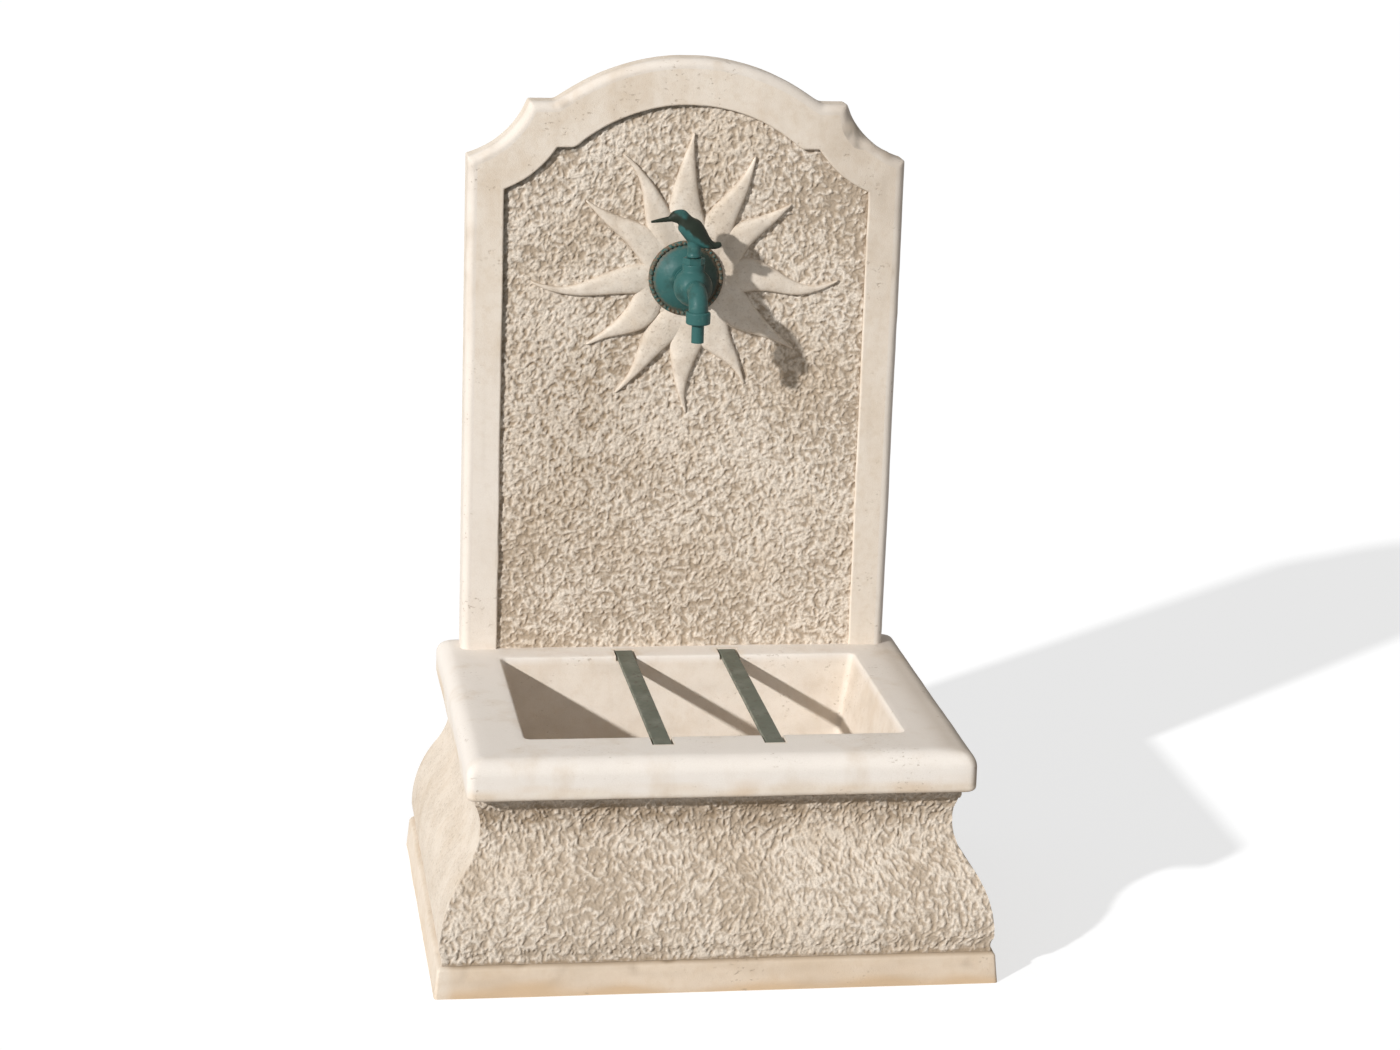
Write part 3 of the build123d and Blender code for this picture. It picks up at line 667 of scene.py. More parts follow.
@dataclass
class Plinth:
    """Battered slab under the basin, with a well for the waste and a channel to the rear.

    Towards the left end its warm tint and soil fade, from the first place of the pair to the second.
    """

    batter: float = 3.0
    round: float = 6.0
    corner: float = 4.0
    corner_ease: float = 0.1
    well: float = 90.0
    channel: float = 70.0
    well_y: float = -9.25
    chip: float = 1.4
    tint_height: float = 19.0
    tint_ragged: float = 26.0
    fade_left: Span = (284.0, 299.0)
    columns: LoopColumns = LoopColumns(front=150, side=90, rear=60, corner=7)

    def build(self, stone: Material) -> None:
        """Stack loops from the ground to the top: a batter, then a quarter round.

        Args:
            stone: The finish.
        """
        low, high = node_box("plinth")
        base, top = low[2], high[2]
        share = np.linspace(0, 1, 9)[:-1]
        tuck, drop = quarter(self.round, 8)
        inset = np.concatenate([self.batter * share, self.batter + tuck])
        z = np.concatenate([base + (top - base - self.round) * share, top - drop])
        corner = self.corner - self.corner_ease * inset
        grid = self.columns.loops(joined(high[0] - inset, low[1] + inset, high[1], corner, z))
        level = grid[..., 2]
        chips = self.chip * patches(grid, 31, 26.0, 0.16, 0.5) * ease(base + 8, top, level)
        shape = grid + outward(grid) * (wobble(grid, 32, swell=0.9) - 0.4 - chips)[..., None]
        shape[..., 1] = np.minimum(shape[..., 1], high[1])
        shape[[0, -1], :, 2] = level[[0, -1]]
        ragged = self.tint_ragged * Lattice(33).at(grid / (70.0, 70.0, 26.0))
        warm = 0.42 + 0.58 * (1 - ease(0.0, self.tint_height, level + ragged))
        soil = 0.07 + 0.8 * ease(top - 5, top + 1, level) + 0.35 * chips
        soil = soil + 0.16 * patches(grid, 34, (55.0, 55.0, 12.0), -0.2, 0.5)
        kept = 1 - 0.75 * ease(*self.fade_left, -grid[..., 0])
        marks = {"warm": warm * kept, "soil": np.clip(soil, 0, 1) * kept}
        piece = piece_of("plinth_slab", [Shell.of_grid(shape, capped=True, **marks)])
        half, lead = self.well / 2, self.channel / 2
        below, above, behind = base - OVERCUT, top + OVERCUT, high[1] + OVERCUT
        well_end = self.well_y + half
        carve(piece, [Shell.block((-half, self.well_y - half, below), (half, well_end, above))])
        carve(piece, [Shell.block((-lead, well_end - OVERCUT, below), (lead, behind, above))])
        dress(piece, stone, Body.FOUNTAIN, Slot.STONE, "plinth")


@dataclass
class Basin:
    """Cast basin: loops from the waste hole out over the ogee and rim and down into the pocket.

    Pairs from foot to rim are the half width from side to side, then the reach to the front.
    Other pairs say where a mark starts and where it is full; under means a drop below the rim.
    """

    foot: Span = (299.0, 228.0)
    bulge: Span = (302.0, 230.0)
    waist: Span = (257.0, 192.0)
    neck: Span = (261.5, 197.0)
    rim: Span = (275.0, 227.0)
    foot_rise: float = 8.0
    bulge_rise: float = 17.0
    waist_drop: float = 85.0
    neck_drop: float = 63.0
    rim_height: float = 46.0
    bead_swell: float = 2.5
    ogee_turn: float = 0.63
    under_round: float = 6.0
    top_round: float = 18.0
    rear_round: float = 28.0
    rear_ease: float = 0.06
    rim_corner: float = 9.0
    side_corner: float = 1.2
    skin_bed: float = 5.0
    skin_depth: float = 9.0
    skin_sink: float = 0.5
    skin_columns: int = 540
    skin_rows: float = 1.75
    # Drops below the rim where the painted shade band under it starts and is full.
    rim_shade_under: Span = (62.0, 10.0)
    blot_under: Span = (56.0, 30.0)
    # Drops below the rim where the soil thinning, painted light inside the rim's shadow, starts and is full.
    shadow_lift_under: Span = (18.0, 8.0)
    blot_fade: Span = (-60.0, 240.0)
    flat_rows: int = 6
    lip_rows: int = 5
    # Across x, where the painted shade on the rim's top towards its right end starts and is full.
    edge_shade_across: Span = (222.0, 268.0)
    sunny_end: Span = (110.0, 190.0)
    crease: float = 62.0
    pocket_half: float = 207.0
    pocket_front: float = -153.0
    pocket_rear: float = 134.5
    pocket_corner: float = 7.0
    pocket_floor: float = 95.0
    pocket_draft: float = 10.0
    floor_round: float = 6.0
    lip_round: float = 3.0
    recess_radius: float = 37.0
    recess_depth: float = 6.5
    hole_radius: float = 22.455
    notch_half: float = 12.0
    notch_depth: float = 5.5
    notch_end: float = 27.0
    bar_x: float = 61.0
    chase_half: float = 30.0
    chase_depth: float = 26.0
    columns: LoopColumns = LoopColumns(front=170, side=90, rear=36, corner=7)
    hammered: Hammered = Hammered(
        seed=11, pitch=5.0, fine_pitch=2.9, stretch=1.75, soil=0.66, dent=1.0,
        headings=(50.0, 80.0, 100.0, 130.0),
    )

    def side_profile(self, view: int, low: float, high: float, fine: float = 1.0) -> Array:
        """Draw the outside from the foot to the flat of the rim.

        A step out to the bulge, an ogee of two tangent arcs, a cove, a parabolic bead, then
        the rim with a small round below and a large one above.

        Args:
            view: 0 for the half width, 1 for the reach to the front.
            low: Height of the foot.
            high: Height of the rim's flat.
            fine: How many times as many rows as usual the ogee has.

        Returns:
            Rows of reach and height, with the same heights in both views.
        """
        foot, bulge, waist, neck, rim = (
            pair[view] for pair in (self.foot, self.bulge, self.waist, self.neck, self.rim)
        )
        foot_z, bulge_z = low + self.foot_rise, low + self.bulge_rise
        waist_z, neck_z, under = high - self.waist_drop, high - self.neck_drop, high - self.rim_height
        turn = (bulge + (waist - bulge) * self.ogee_turn, bulge_z + (waist_z - bulge_z) * self.ogee_turn)

        def steps(start: Span | float, end: Span | float, count: int) -> Array:
            """Return equal steps from a start up to an end, which is left out."""
            return np.linspace(start, end, round(count * fine), endpoint=False)

        lower, upper = steps(bulge_z, turn[1], 43), steps(turn[1], waist_z, 25)
        cove, bead = steps(waist_z, neck_z, 12), steps(neck_z, under, 10)
        swell = 1 - ((bead - (neck_z + under) / 2) / ((under - neck_z) / 2)) ** 2
        soffit = np.linspace(neck, rim - self.under_round, 4, endpoint=False)
        face = np.linspace(under + self.under_round, high - self.top_round, 6, endpoint=False)
        rise, tuck = quarter(self.under_round, 7)
        inset, drop = quarter(self.top_round, 11)
        rows = [
            steps((foot, low), (foot, foot_z), 4),
            steps((foot, foot_z), (bulge, bulge_z), 5),
            joined(upright_arc((bulge, bulge_z), turn, lower), lower),
            joined(upright_arc((waist, waist_z), turn, upper), upper),
            joined(upright_arc((waist, waist_z), (neck, neck_z), cove), cove),
            joined(neck + self.bead_swell * swell, bead),
            joined(soffit, under),
            joined(rim - tuck, under + rise)[:-1],
            joined(rim, face),
            joined(rim - inset, high - drop),
        ]
        return np.concatenate(rows)

    def pocket_rows(self, high: float) -> Array:
        """Run from the flat of the rim over the lip and down to the floor.

        The wall leans by the draft, and its foot is an arc tangent to wall and floor.

        Args:
            high: Height of the rim's flat.

        Returns:
            Rows of half width, front, rear, corner radius and height.
        """
        draft = math.radians(self.pocket_draft)
        lean = math.tan(draft)
        fall, near = quarter(self.lip_round, self.lip_rows)
        hub_z = self.pocket_floor + self.floor_round
        hub = (high - hub_z) * lean + self.floor_round / math.cos(draft)
        sweep = np.linspace(draft, np.pi / 2, 9)
        foot_z = hub_z - high - self.floor_round * np.sin(sweep)
        drop = np.linspace(-self.lip_round, foot_z[0], 26)[1:-1]
        inset = np.concatenate([-near, -drop * lean, hub - self.floor_round * np.cos(sweep)])
        depth = np.concatenate([-fall, drop, foot_z])
        corner = self.pocket_corner - np.minimum(inset, 0)
        front, rear = self.pocket_front + inset, self.pocket_rear - inset
        return joined(self.pocket_half - inset, front, rear, corner, high + depth)

    def waste_rows(self, floor: Array, foot: Array, base: float) -> Array:
        """Run from the pocket's floor into the recess, down the hole and out under the foot.

        Each column keeps its bearing from the waste's axis, so a loop blends from the rounded
        rectangle to a circle by equal shares.

        Args:
            floor: The last loop on the floor.
            foot: The first loop of the outside.
            base: Height of the underside.

        Returns:
            Loops that close the basin underneath.
        """
        axis_y = (self.pocket_front + self.pocket_rear) / 2
        bearing = np.arctan2(floor[:, 1] - axis_y, floor[:, 0])
        circle = joined(np.cos(bearing), np.sin(bearing), 0.0)
        seat, hole = self.pocket_floor - self.recess_depth, self.hole_radius

        def ring(radius: float, z: float) -> Array:
            """Return a circle about the waste's axis."""
            return circle * radius + np.array([0.0, axis_y, z])

        steps = ((self.recess_radius, seat), (hole, seat), (hole, (seat + base) / 2), (hole, base))
        rings = np.stack([ring(radius, z) for radius, z in steps])
        share = np.linspace(0, 1, 8)[1:, None, None]
        inwards = floor + (ring(self.recess_radius, self.pocket_floor) - floor) * share
        under = np.linspace(0, 1, 5)[1:-1, None, None]
        return np.concatenate([inwards, rings, rings[-1] + (foot - rings[-1]) * under])

    def front_skin(self, low: Array, high: Array) -> Object:
        """Lay the hammered front over its bed, from the foot to the underside of the rim.

        Columns are equal shares of the width at each height, and a point is moved along the profile's
        normal by the relief. Under the rim the relief is coarser and darkened by painted shade, and right
        under it, in the rim's cast shadow, the soil is thinned as painted light.

        Args:
            low: Lowest corner of the basin.
            high: Highest corner of the basin.

        Returns:
            The front as a closed slab.
        """
        base, under = low[2], high[2] - self.rim_height
        sides, fronts = (self.side_profile(view, base, high[2], self.skin_rows) for view in (0, 1))
        below = sides[:, 1] < under
        half, reach, z = sides[below, 0], fronts[below, 0], sides[below, 1]
        slope = joined(np.gradient(z), -np.gradient(reach))
        slope /= np.linalg.norm(slope, axis=1, keepdims=True)
        length = np.append(0, np.cumsum(np.hypot(np.diff(reach), np.diff(z))))
        across = half[:, None] * np.linspace(-1, 1, self.skin_columns)
        up, level = (np.broadcast_to(column[:, None], across.shape) for column in (length, z))

        def nearing(drops: Span, place: Array) -> Array:
            """Rise from 0 at the first drop below the rim to 1 at the second."""
            return ease(under - drops[0], under - drops[1], place)

        # Painted shade: a band below the rim is darkened by more soil, and its relief is made coarser.
        rim_shade = nearing(self.rim_shade_under, level + 26 * Lattice(16).over(across / 90.0, up / 90.0))
        relief, soil = self.hammered.stipple(across, up, 0.04 - 0.4 * rim_shade)
        settle = ease(base, base + 4, level) * (1 - 0.6 * ease(under - 5, under, level))
        lift = relief * (1 + 0.3 * rim_shade) * settle - self.skin_sink
        y = -(reach[:, None] + slope[:, :1] * lift)
        height = np.clip(level + slope[:, 1:] * lift, base, under)
        blot = ease(-0.15, 0.3, Lattice(19).over(across / 30.0, up / 15.0))
        blot = blot * (1 - 0.6 * ease(*self.blot_fade, across)) * nearing(self.blot_under, level)
        soil = 0.08 + soil + 0.08 * rim_shade + 0.3 * blot
        # Painted light: within the rim's cast shadow the soil is thinned, so that the shadow renders
        # lighter.
        soil = soil * (1 - 0.7 * nearing(self.shadow_lift_under, level))
        soil = soil + 0.5 * (1 - ease(base + 1, base + 5, level))
        behind = joined(across, self.skin_depth - reach[:, None], level)
        marks = {"soil": np.clip(soil, 0, 1), "rough": np.ones_like(across)}
        slab = Shell.slab(joined(across, y, height), behind, **marks)
        piece = piece_of("basin_front", [slab], HAMMERED_CREASE)
        crisp_edge(piece)
        return piece

    def casting_marks(self, grid: Array, outside: int, top: float) -> dict[str, Array]:
        """Soil the casting and paint shade on it: shade along the rim's underside, on faces turned to the
        right and on the rim's right end; sandy flanks, a pale rim and a stained pocket.

        Args:
            grid: Points of the casting before it strays.
            outside: Number of loops on the outside.
            top: Height of the rim's flat.

        Returns:
            Values for soil with painted shade, bloom, warmth and roughness at the points.
        """
        x, _, level = np.moveaxis(grid, -1, 0)
        under = top - self.rim_height
        outer = (np.arange(len(grid)) < outside)[:, None]
        bloom = outer * ease(under + 6, under + 20, level + 14 * Lattice(14).at(grid / (60.0, 60.0, 14.0)))
        lip_end = outside + self.flat_rows + self.lip_rows
        bloom[outside:lip_end] = 1.0
        bloom[lip_end:] = 0.3
        sandy = outer * (level < under) * (0.7 + Lattice(15).at(grid / 40.0))
        facing = outward(grid)
        # Painted shade: the rim's faces turned to the right, away from the lamp, are darkened.
        turned = outer * (level > under + 8) * np.clip(facing[..., 0] / 0.8, 0, 1)
        # Painted shade: the rim's top darkens towards its right end, away from the lamp.
        edge = (level > top - 12) * ease(*self.edge_shade_across, x) * (1 - ease(0.1, 0.8, -facing[..., 1]))
        sunny = ~outer * (level > self.pocket_floor) * ease(*self.sunny_end, x)
        stain = ~outer * (level > self.pocket_floor - 2) * (level < top - self.lip_round)
        stain = stain * patches(grid, 18, (42.0, 42.0, 24.0), -0.1, 0.45)
        # Painted shade: a dark line along the rim's underside, where the rim overhangs the body.
        soil = outer * 0.8 * (1 - ease(0.3, 2.5, np.abs(level - under)))
        # The soil mark adds real sandy soil and pocket stains to the painted shade above.
        soil = soil + 0.18 * sandy + np.maximum(0.75 * turned, 0.5 * edge) + 0.12 * sunny + 0.14 * stain
        warm = 0.4 * outer * patches(grid, 17, (50.0, 50.0, 16.0), -0.05, 0.45)
        warm = warm * ease(under, under + 4, level) * (1 - ease(under + 14, under + 26, level))
        return {"soil": np.clip(soil, 0, 1), "bloom": bloom, "warm": warm, "rough": 0.6 * sandy}

    def build(self, stone: Material) -> None:
        """Form the closed casting with a bed for the front, then cut the notches and the chase.

        Args:
            stone: The finish.
        """
        low, high = node_box("basin")
        base, top = low[2], high[2]
        sides, fronts = (self.side_profile(view, base, top) for view in (0, 1))
        z = sides[:, 1]
        beneath = z < top - self.rim_height
        bed = np.where(beneath, self.skin_bed, 0.0)
        corner = np.where(beneath, self.side_corner, self.rim_corner)
        rise = np.clip(z - top + self.rear_round, 0, self.rear_round)
        rear = high[1] - self.rear_round + np.sqrt(self.rear_round**2 - rise**2)
        rear -= self.rear_ease * np.clip(self.rim[0] - sides[:, 0], 0, None)
        outside = joined(sides[:, 0], bed - fronts[:, 0], rear, corner, z)
        pocket = self.pocket_rows(top)
        share = np.linspace(0, 1, self.flat_rows + 2)[1:-1, None]
        flat = outside[-1] + (pocket[0] - outside[-1]) * share
        grid = self.columns.loops(np.concatenate([outside, flat, pocket]))
        grid = np.concatenate([grid, self.waste_rows(grid[-1], grid[0], base)])
        stray = wobble(grid, 12) - 0.25
        stray[len(outside) :] = 0.0
        shape = grid + outward(grid) * stray[..., None]
        shape[..., 1] = np.minimum(shape[..., 1], high[1])
        shape[..., 2] = np.clip(shape[..., 2], base, top)
        shell = Shell.of_grid(shape, torus=True, **self.casting_marks(grid, len(outside), top))
        piece = piece_of("basin_casting", [shell], self.crease)
        carve(piece, self.notches(top) + [self.chase(low, high)])
        dress(piece, stone, Body.FOUNTAIN, Slot.STONE, "basin")
        dress(self.front_skin(low, high), stone, Body.FOUNTAIN, Slot.STONE, "basin")

    def notches(self, top: float) -> list[Shell]:
        """Make the two long cutters that leave the bars' notches in the rim.

        Args:
            top: Height of the rim's flat.

        Returns:
            The cutters.
        """
        front, rear = self.pocket_front - self.notch_end, self.pocket_rear + self.notch_end
        floor, above, half = top - self.notch_depth, top + OVERCUT, self.notch_half
        bars = (-self.bar_x, self.bar_x)
        return [Shell.block((bar - half, front, floor), (bar + half, rear, above)) for bar in bars]

    def chase(self, low: Array, high: Array) -> Shell:
        """Return the cutter of the pipe chase at the rear."""
        start = (-self.chase_half, high[1] - self.chase_depth, low[2] - OVERCUT)
        return Shell.block(start, (self.chase_half, high[1] + OVERCUT, high[2] + OVERCUT))


@dataclass(frozen=True)
class ArchOutline:
    """Arched outline with scooped shoulders and flat ears, symmetric about x = 0."""

    half: float
    shoulder: float
    scoop: float
    ear: float
    ear_outer: float
    ear_inner: float
    crown: float
    steps: tuple[int, ...] = (60, 26, 14, 46)

    def right_half(self, base: float, inset: float) -> Array:
        """Draw the right side from its foot to the crown, moved inwards.

        The scoop's circle grows and the arch's circle shrinks by the inset, and the side and
        the ear move straight, so that the corners stay where these lines cross. Points crowd
        towards the corners by a cosine.

        Args:
            base: Height of the foot.
            inset: Distance inwards, or outwards if below zero.

        Returns:
            Points as x and z.
        """
        foot, tip = np.array([self.half, self.shoulder]), np.array([self.ear_outer, self.ear])
        chord = tip - foot
        length = np.linalg.norm(chord)
        radius = (length**2 / 4 + self.scoop**2) / (2 * self.scoop)
        aside = np.array([chord[1], -chord[0]]) / length
        hub = (foot + tip) / 2 + aside * (radius - self.scoop)
        rise = self.crown - self.ear
        arch = (self.ear_inner**2 + rise**2) / (2 * rise)
        arch_z = self.crown - arch
        side_x, ear_z, scoop_r, arch_r = self.half - inset, self.ear - inset, radius + inset, arch - inset
        low_z = hub[1] - math.sqrt(scoop_r**2 - (side_x - hub[0]) ** 2)
        ear_x = hub[0] - math.sqrt(scoop_r**2 - (ear_z - hub[1]) ** 2)
        spring_x = math.sqrt(arch_r**2 - (ear_z - arch_z) ** 2)
        side, scoop, flat = ((1 - np.cos(np.linspace(0, np.pi, count)[:-1])) / 2 for count in self.steps[:3])
        start = math.atan2(low_z - hub[1], side_x - hub[0])
        turn = np.unwrap([start, math.atan2(ear_z - hub[1], ear_x - hub[0])])
        sweep = turn[0] + (turn[1] - turn[0]) * scoop
        bow = math.asin(spring_x / arch_r) * (1 - np.sin(np.linspace(0, np.pi / 2, self.steps[3])))
        parts = [
            joined(side_x, base + (low_z - base) * side),
            hub + scoop_r * joined(np.cos(sweep), np.sin(sweep)),
            joined(ear_x + (spring_x - ear_x) * flat, ear_z),
            joined(arch_r * np.sin(bow), arch_z + arch_r * np.cos(bow)),
        ]
        return np.concatenate(parts)

    def path(self, base: float, inset: float, soften: int = 5) -> Array:
        """Draw the whole outline from the left foot to the right foot, its corners softened.

        Each round of softening moves a point half way to the middle of its two neighbours.

        Args:
            base: Height of the feet.
            inset: Distance inwards, or outwards if below zero.
            soften: Number of rounds.

        Returns:
            Points as x and z.
        """
        right = self.right_half(base, inset)
        points = np.concatenate([right * (-1, 1), right[-2::-1]])
        for _ in range(soften):
            points[1:-1] = points[1:-1] / 2 + (points[:-2] + points[2:]) / 4
        return points

    def top(self, x: Array, base: float) -> Array:
        """Return the outline's height above places along x."""
        right = self.right_half(base, 0.0)[self.steps[0] - 1 :]
        return np.interp(np.abs(x), right[::-1, 0], right[::-1, 1])


class Part(Enum):
    """Parts of the frame's section, from the rear over the front to the field."""

    WALL = 0
    EDGE = 1
    FLAT = 2
    LIP = 3
    BED = 4


@dataclass
class BackPanel:
    """Arched panel: a raised frame swept along two outlines, and a hammered field set in it.

    A spot has its place and its reach. Other pairs say where a mark starts and where it is full.
    """

    outer_round: float = 10.0
    scoop_round: float = 18.0
    inner_round: float = 2.5
    rear_round: float = 4.0
    recess_top: float = 6.2
    recess_foot: float = 4.4
    grime_spot: Span = (205.0, 845.0)
    grime_reach: Span = (85.0, 150.0)
    damp_spot: Span = (-128.0, 545.0)
    damp_reach: Span = (85.0, 120.0)
    worn_across: Span = (176.0, 188.0)
    worn_up: Span = (858.0, 868.0)
    dull_right: Span = (150.0, 230.0)
    pale_left: Span = (60.0, 230.0)
    pale_foot: Span = (420.0, 720.0)
    # Where the painted shade along the recess's left and top edges grows: upwards, towards the left, and
    # near the border.
    shade_nook_up: Span = (430.0, 760.0)
    shade_nook_left: Span = (-60.0, 60.0)
    shade_nook_reach: Span = (2.5, 8.5)
    edge_gap: float = 20.0
    lip_gap: float = 10.0
    flat_gap: float = 1.5
    chip: float = 1.3
    plate_back: float = 11.0
    tuck: float = 4.0
    grain: float = 1.08
    bands: int = 3
    hole_radius: float = 15.0
    outside: ArchOutline = ArchOutline(
        half=250.0, shoulder=838.5, scoop=11.5, ear=901.5, ear_outer=181.0, ear_inner=151.0, crown=952.0
    )
    inside: ArchOutline = ArchOutline(
        half=209.0, shoulder=803.5, scoop=6.0, ear=851.0, ear_outer=150.0, ear_inner=130.0, crown=900.5
    )
    hammered: Hammered = Hammered(seed=5)

    def build(self, stone: Material) -> None:
        """Make the frame and the field.

        Args:
            stone: The finish.
        """
        low, high = node_box("back_panel")
        for piece in [self.frame_piece(low, high)] + self.field_pieces(low):
            dress(piece, stone, Body.FOUNTAIN, Slot.STONE, "back_panel")

    def section(self, low: Array, high: Array) -> tuple[Array, Array]:
        """Sweep the frame's section from foot to foot over the crown.

        Across the section the strip runs up the side wall, round the outer edge, over the flat,
        round the inner edge and down to the field's bed. A point of the rounded edge at angle a
        lies r(1 - cos a) in from the outline and r(1 - sin a) behind the front.

        Args:
            low: Lowest corner of the panel.
            high: Highest corner of the panel.

        Returns:
            Points as rows, columns and three coordinates, and each row's part of the section.
        """
        base, front, rear = low[2], low[1], high[1]
        edge, inner = (self.outside.path(base, inset) for inset in (0.0, self.edge_gap))
        lip, lip_out = (self.inside.path(base, inset) for inset in (0.0, -self.lip_gap))
        reach = (self.outer_round + (self.scoop_round - self.outer_round) * self.wear(*edge.T))[:, None]

        def at_edge(inset: Array | float, y: Array | float) -> Array:
            """Return the outline moved in, at a depth, both for all points or for each."""
            spot = edge + (inner - edge) * inset / self.edge_gap
            return joined(spot[:, 0], np.ravel(y), spot[:, 1])

        def at_lip(outset: float, y: float) -> Array:
            """Return the field's outline moved out, at a depth."""
            spot = lip + (lip_out - lip) * outset / self.lip_gap
            return joined(spot[:, 0], y, spot[:, 1])

        wall_end = rear - self.rear_round
        run = front + reach - wall_end
        start = at_edge(reach + self.flat_gap, front)
        end = at_lip(self.inner_round + self.flat_gap, front)
        bows = [at_edge(inset, rear - drop) for drop, inset in zip(*quarter(self.rear_round, 5))]
        walls = [at_edge(0.0, wall_end + run * share) for share in np.linspace(0, 1, 7)[1:-1]]
        rounds = [at_edge(reach * inset, front + reach * drop) for inset, drop in zip(*quarter(1.0, 9))]
        flats = [start + (end - start) * share for share in np.linspace(0, 1, 8)]
        folds = [at_lip(inset, front + drop) for drop, inset in zip(*quarter(self.inner_round, 6))]
        bed = [at_lip(0.0, front + depth) for depth in (self.recess_foot, self.recess_top, self.plate_back)]
        runs = (bows + walls, rounds, flats, folds, bed)
        kind = np.repeat([part.value for part in Part], [len(run) for run in runs])
        return np.stack([row for run in runs for row in run]), kind[:, None]

    def wear(self, x: Array, z: Array) -> Array:
        """Return 1 on the scoop at the upper right, whose edge is worn rounder, and 0 elsewhere."""
        return ease(*self.worn_across, x) * ease(*self.worn_up, z)

    def frame_marks(self, grid: Array, kind: Array, chips: Array, front: float) -> dict[str, Array]:
        """Soil the frame: grime at the upper right, streaks on the flat, a pale edge, and painted shade in
        the recess and on the scoop at the upper right.

        Args:
            grid: Points of the section before they stray.
            kind: Part of the section that each row belongs to.
            chips: Depth of the chips at the points.
            front: Place of the frame's front in depth.

        Returns:
            Values for soil with painted shade, bloom, and painted shade for the near-black mark, at the
            points.
        """
        x, y, z = np.moveaxis(grid, -1, 0)
        rounded, flat = kind == Part.EDGE.value, kind == Part.FLAT.value
        outline = np.count_nonzero(kind == Part.WALL.value) - 1
        worn = self.wear(x[outline], z[outline]) * rounded
        grime = self.bell(x, z, self.grime_spot, self.grime_reach)
        # Painted shade: the recess walls behind the field and the worn scoop's round are darkened; chips and
        # rounded edges take real soil.
        soil = 0.85 * (kind == Part.BED.value) + 0.25 * chips + 0.12 * worn + 0.08 * rounded
        soil = soil + grime * (0.3 + 0.3 * Lattice(23).at(grid / 30.0)) + 0.07 * ease(*self.dull_right, x)
        soil = soil + 0.1 * patches(grid, 25, (9.0, 9.0, 70.0), 0.05, 0.5) * flat
        bloom = 0.6 * ease(*self.pale_left, -x) * (1 - ease(*self.pale_foot, z))
        # Painted shade: the worn scoop at the upper right, turned from the lamp, gets dark smudges.
        smudge = patches(grid, 26, 9.0, -0.1, 0.35) * worn
        # Painted shade: the lip and recess on the left, stronger towards the top, where the frame's shadow
        # falls.
        deep = (kind >= Part.LIP.value) * ease(0.8, 2.6, y - front) * ease(*self.shade_nook_left, -x)
        dark = (0.12 + 0.55 * ease(*self.shade_nook_up, z)) * deep + 0.35 * smudge
        return {"soil": np.clip(soil, 0, 1), "bloom": np.maximum(bloom, 0.7 * rounded), "grime": dark}

    def frame_piece(self, low: Array, high: Array) -> Object:
        """Let the section stray a little, chip its edges and close the slab behind.

        Args:
            low: Lowest corner of the panel.
            high: Highest corner of the panel.

        Returns:
            The frame with its slab and tap hole.
        """
        base, front = low[2], low[1]
        grid, kind = self.section(low, high)
        chips = self.chip * patches(grid, 21, 24.0, 0.18, 0.5)
        chips = chips * np.isin(kind, (Part.EDGE.value, Part.LIP.value))
        stray = (wobble(grid, 22) - 0.35 - chips) * (kind < Part.BED.value)
        stray[0] = 0.0
        shape = grid + outward(grid, ring=False) * stray[..., None]
        shape = np.clip(shape, (low[0], front, base), (high[0], np.inf, high[2]))
        shape[:, [0, -1], 2] = base
        strip = Shell.of_grid(shape, ring=False, **self.frame_marks(grid, kind, chips, front))
        index = np.arange(len(strip.points)).reshape(grid.shape[:2])
        strip.caps += [index[0], index[-1][::-1], np.concatenate([index[::-1, 0], index[:, -1]])]
        piece = piece_of("panel_frame", [strip])
        span = joined(self.hole_radius, np.array([-high[1] - OVERCUT, OVERCUT - front]))
        carve(piece, [Shell.turned(span, np.array([0, 0, TAP_Z]), Turning.FRONT, 48)])
        return piece

    @staticmethod
    def bell(x: Array, z: Array, spot: Span, reach: Span) -> Array:
        """Return how near a place is to one spot: a bell curve about it."""
        return np.exp(-(((x - spot[0]) / reach[0]) ** 2) - ((z - spot[1]) / reach[1]) ** 2)

    def field_pieces(self, low: Array) -> list[Object]:
        """Lay the hammered field in bands: columns at equal steps, rows from foot to outline.

        A row's height is its share of the way up to the arched outline above its column, and
        its depth is the field's place less the relief.

        Args:
            low: Lowest corner of the panel.

        Returns:
            The bands as closed slabs, one above the other.
        """
        base, front = low[2], low[1]
        half = self.inside.half + self.tuck
        x = np.linspace(-half, half, round(2 * half / self.grain))
        top = self.inside.top(np.clip(x, -self.inside.half, self.inside.half), base) + self.tuck
        share = np.linspace(0, 1, round((self.inside.crown - base) / self.grain))[:, None]
        z = base + (top - base) * share
        across = np.broadcast_to(x, z.shape)
        grime = self.bell(across, z, self.grime_spot, self.grime_reach)
        relief, soil = self.hammered.stipple(across, z, 0.05 - 0.12 * grime)
        damp = self.bell(across, z, self.damp_spot, self.damp_reach)
        damp = damp * (0.7 + 0.6 * Lattice(24).over(across / 40.0, z / 40.0))
        soil = np.clip(soil + 0.36 * damp, 0, 1)
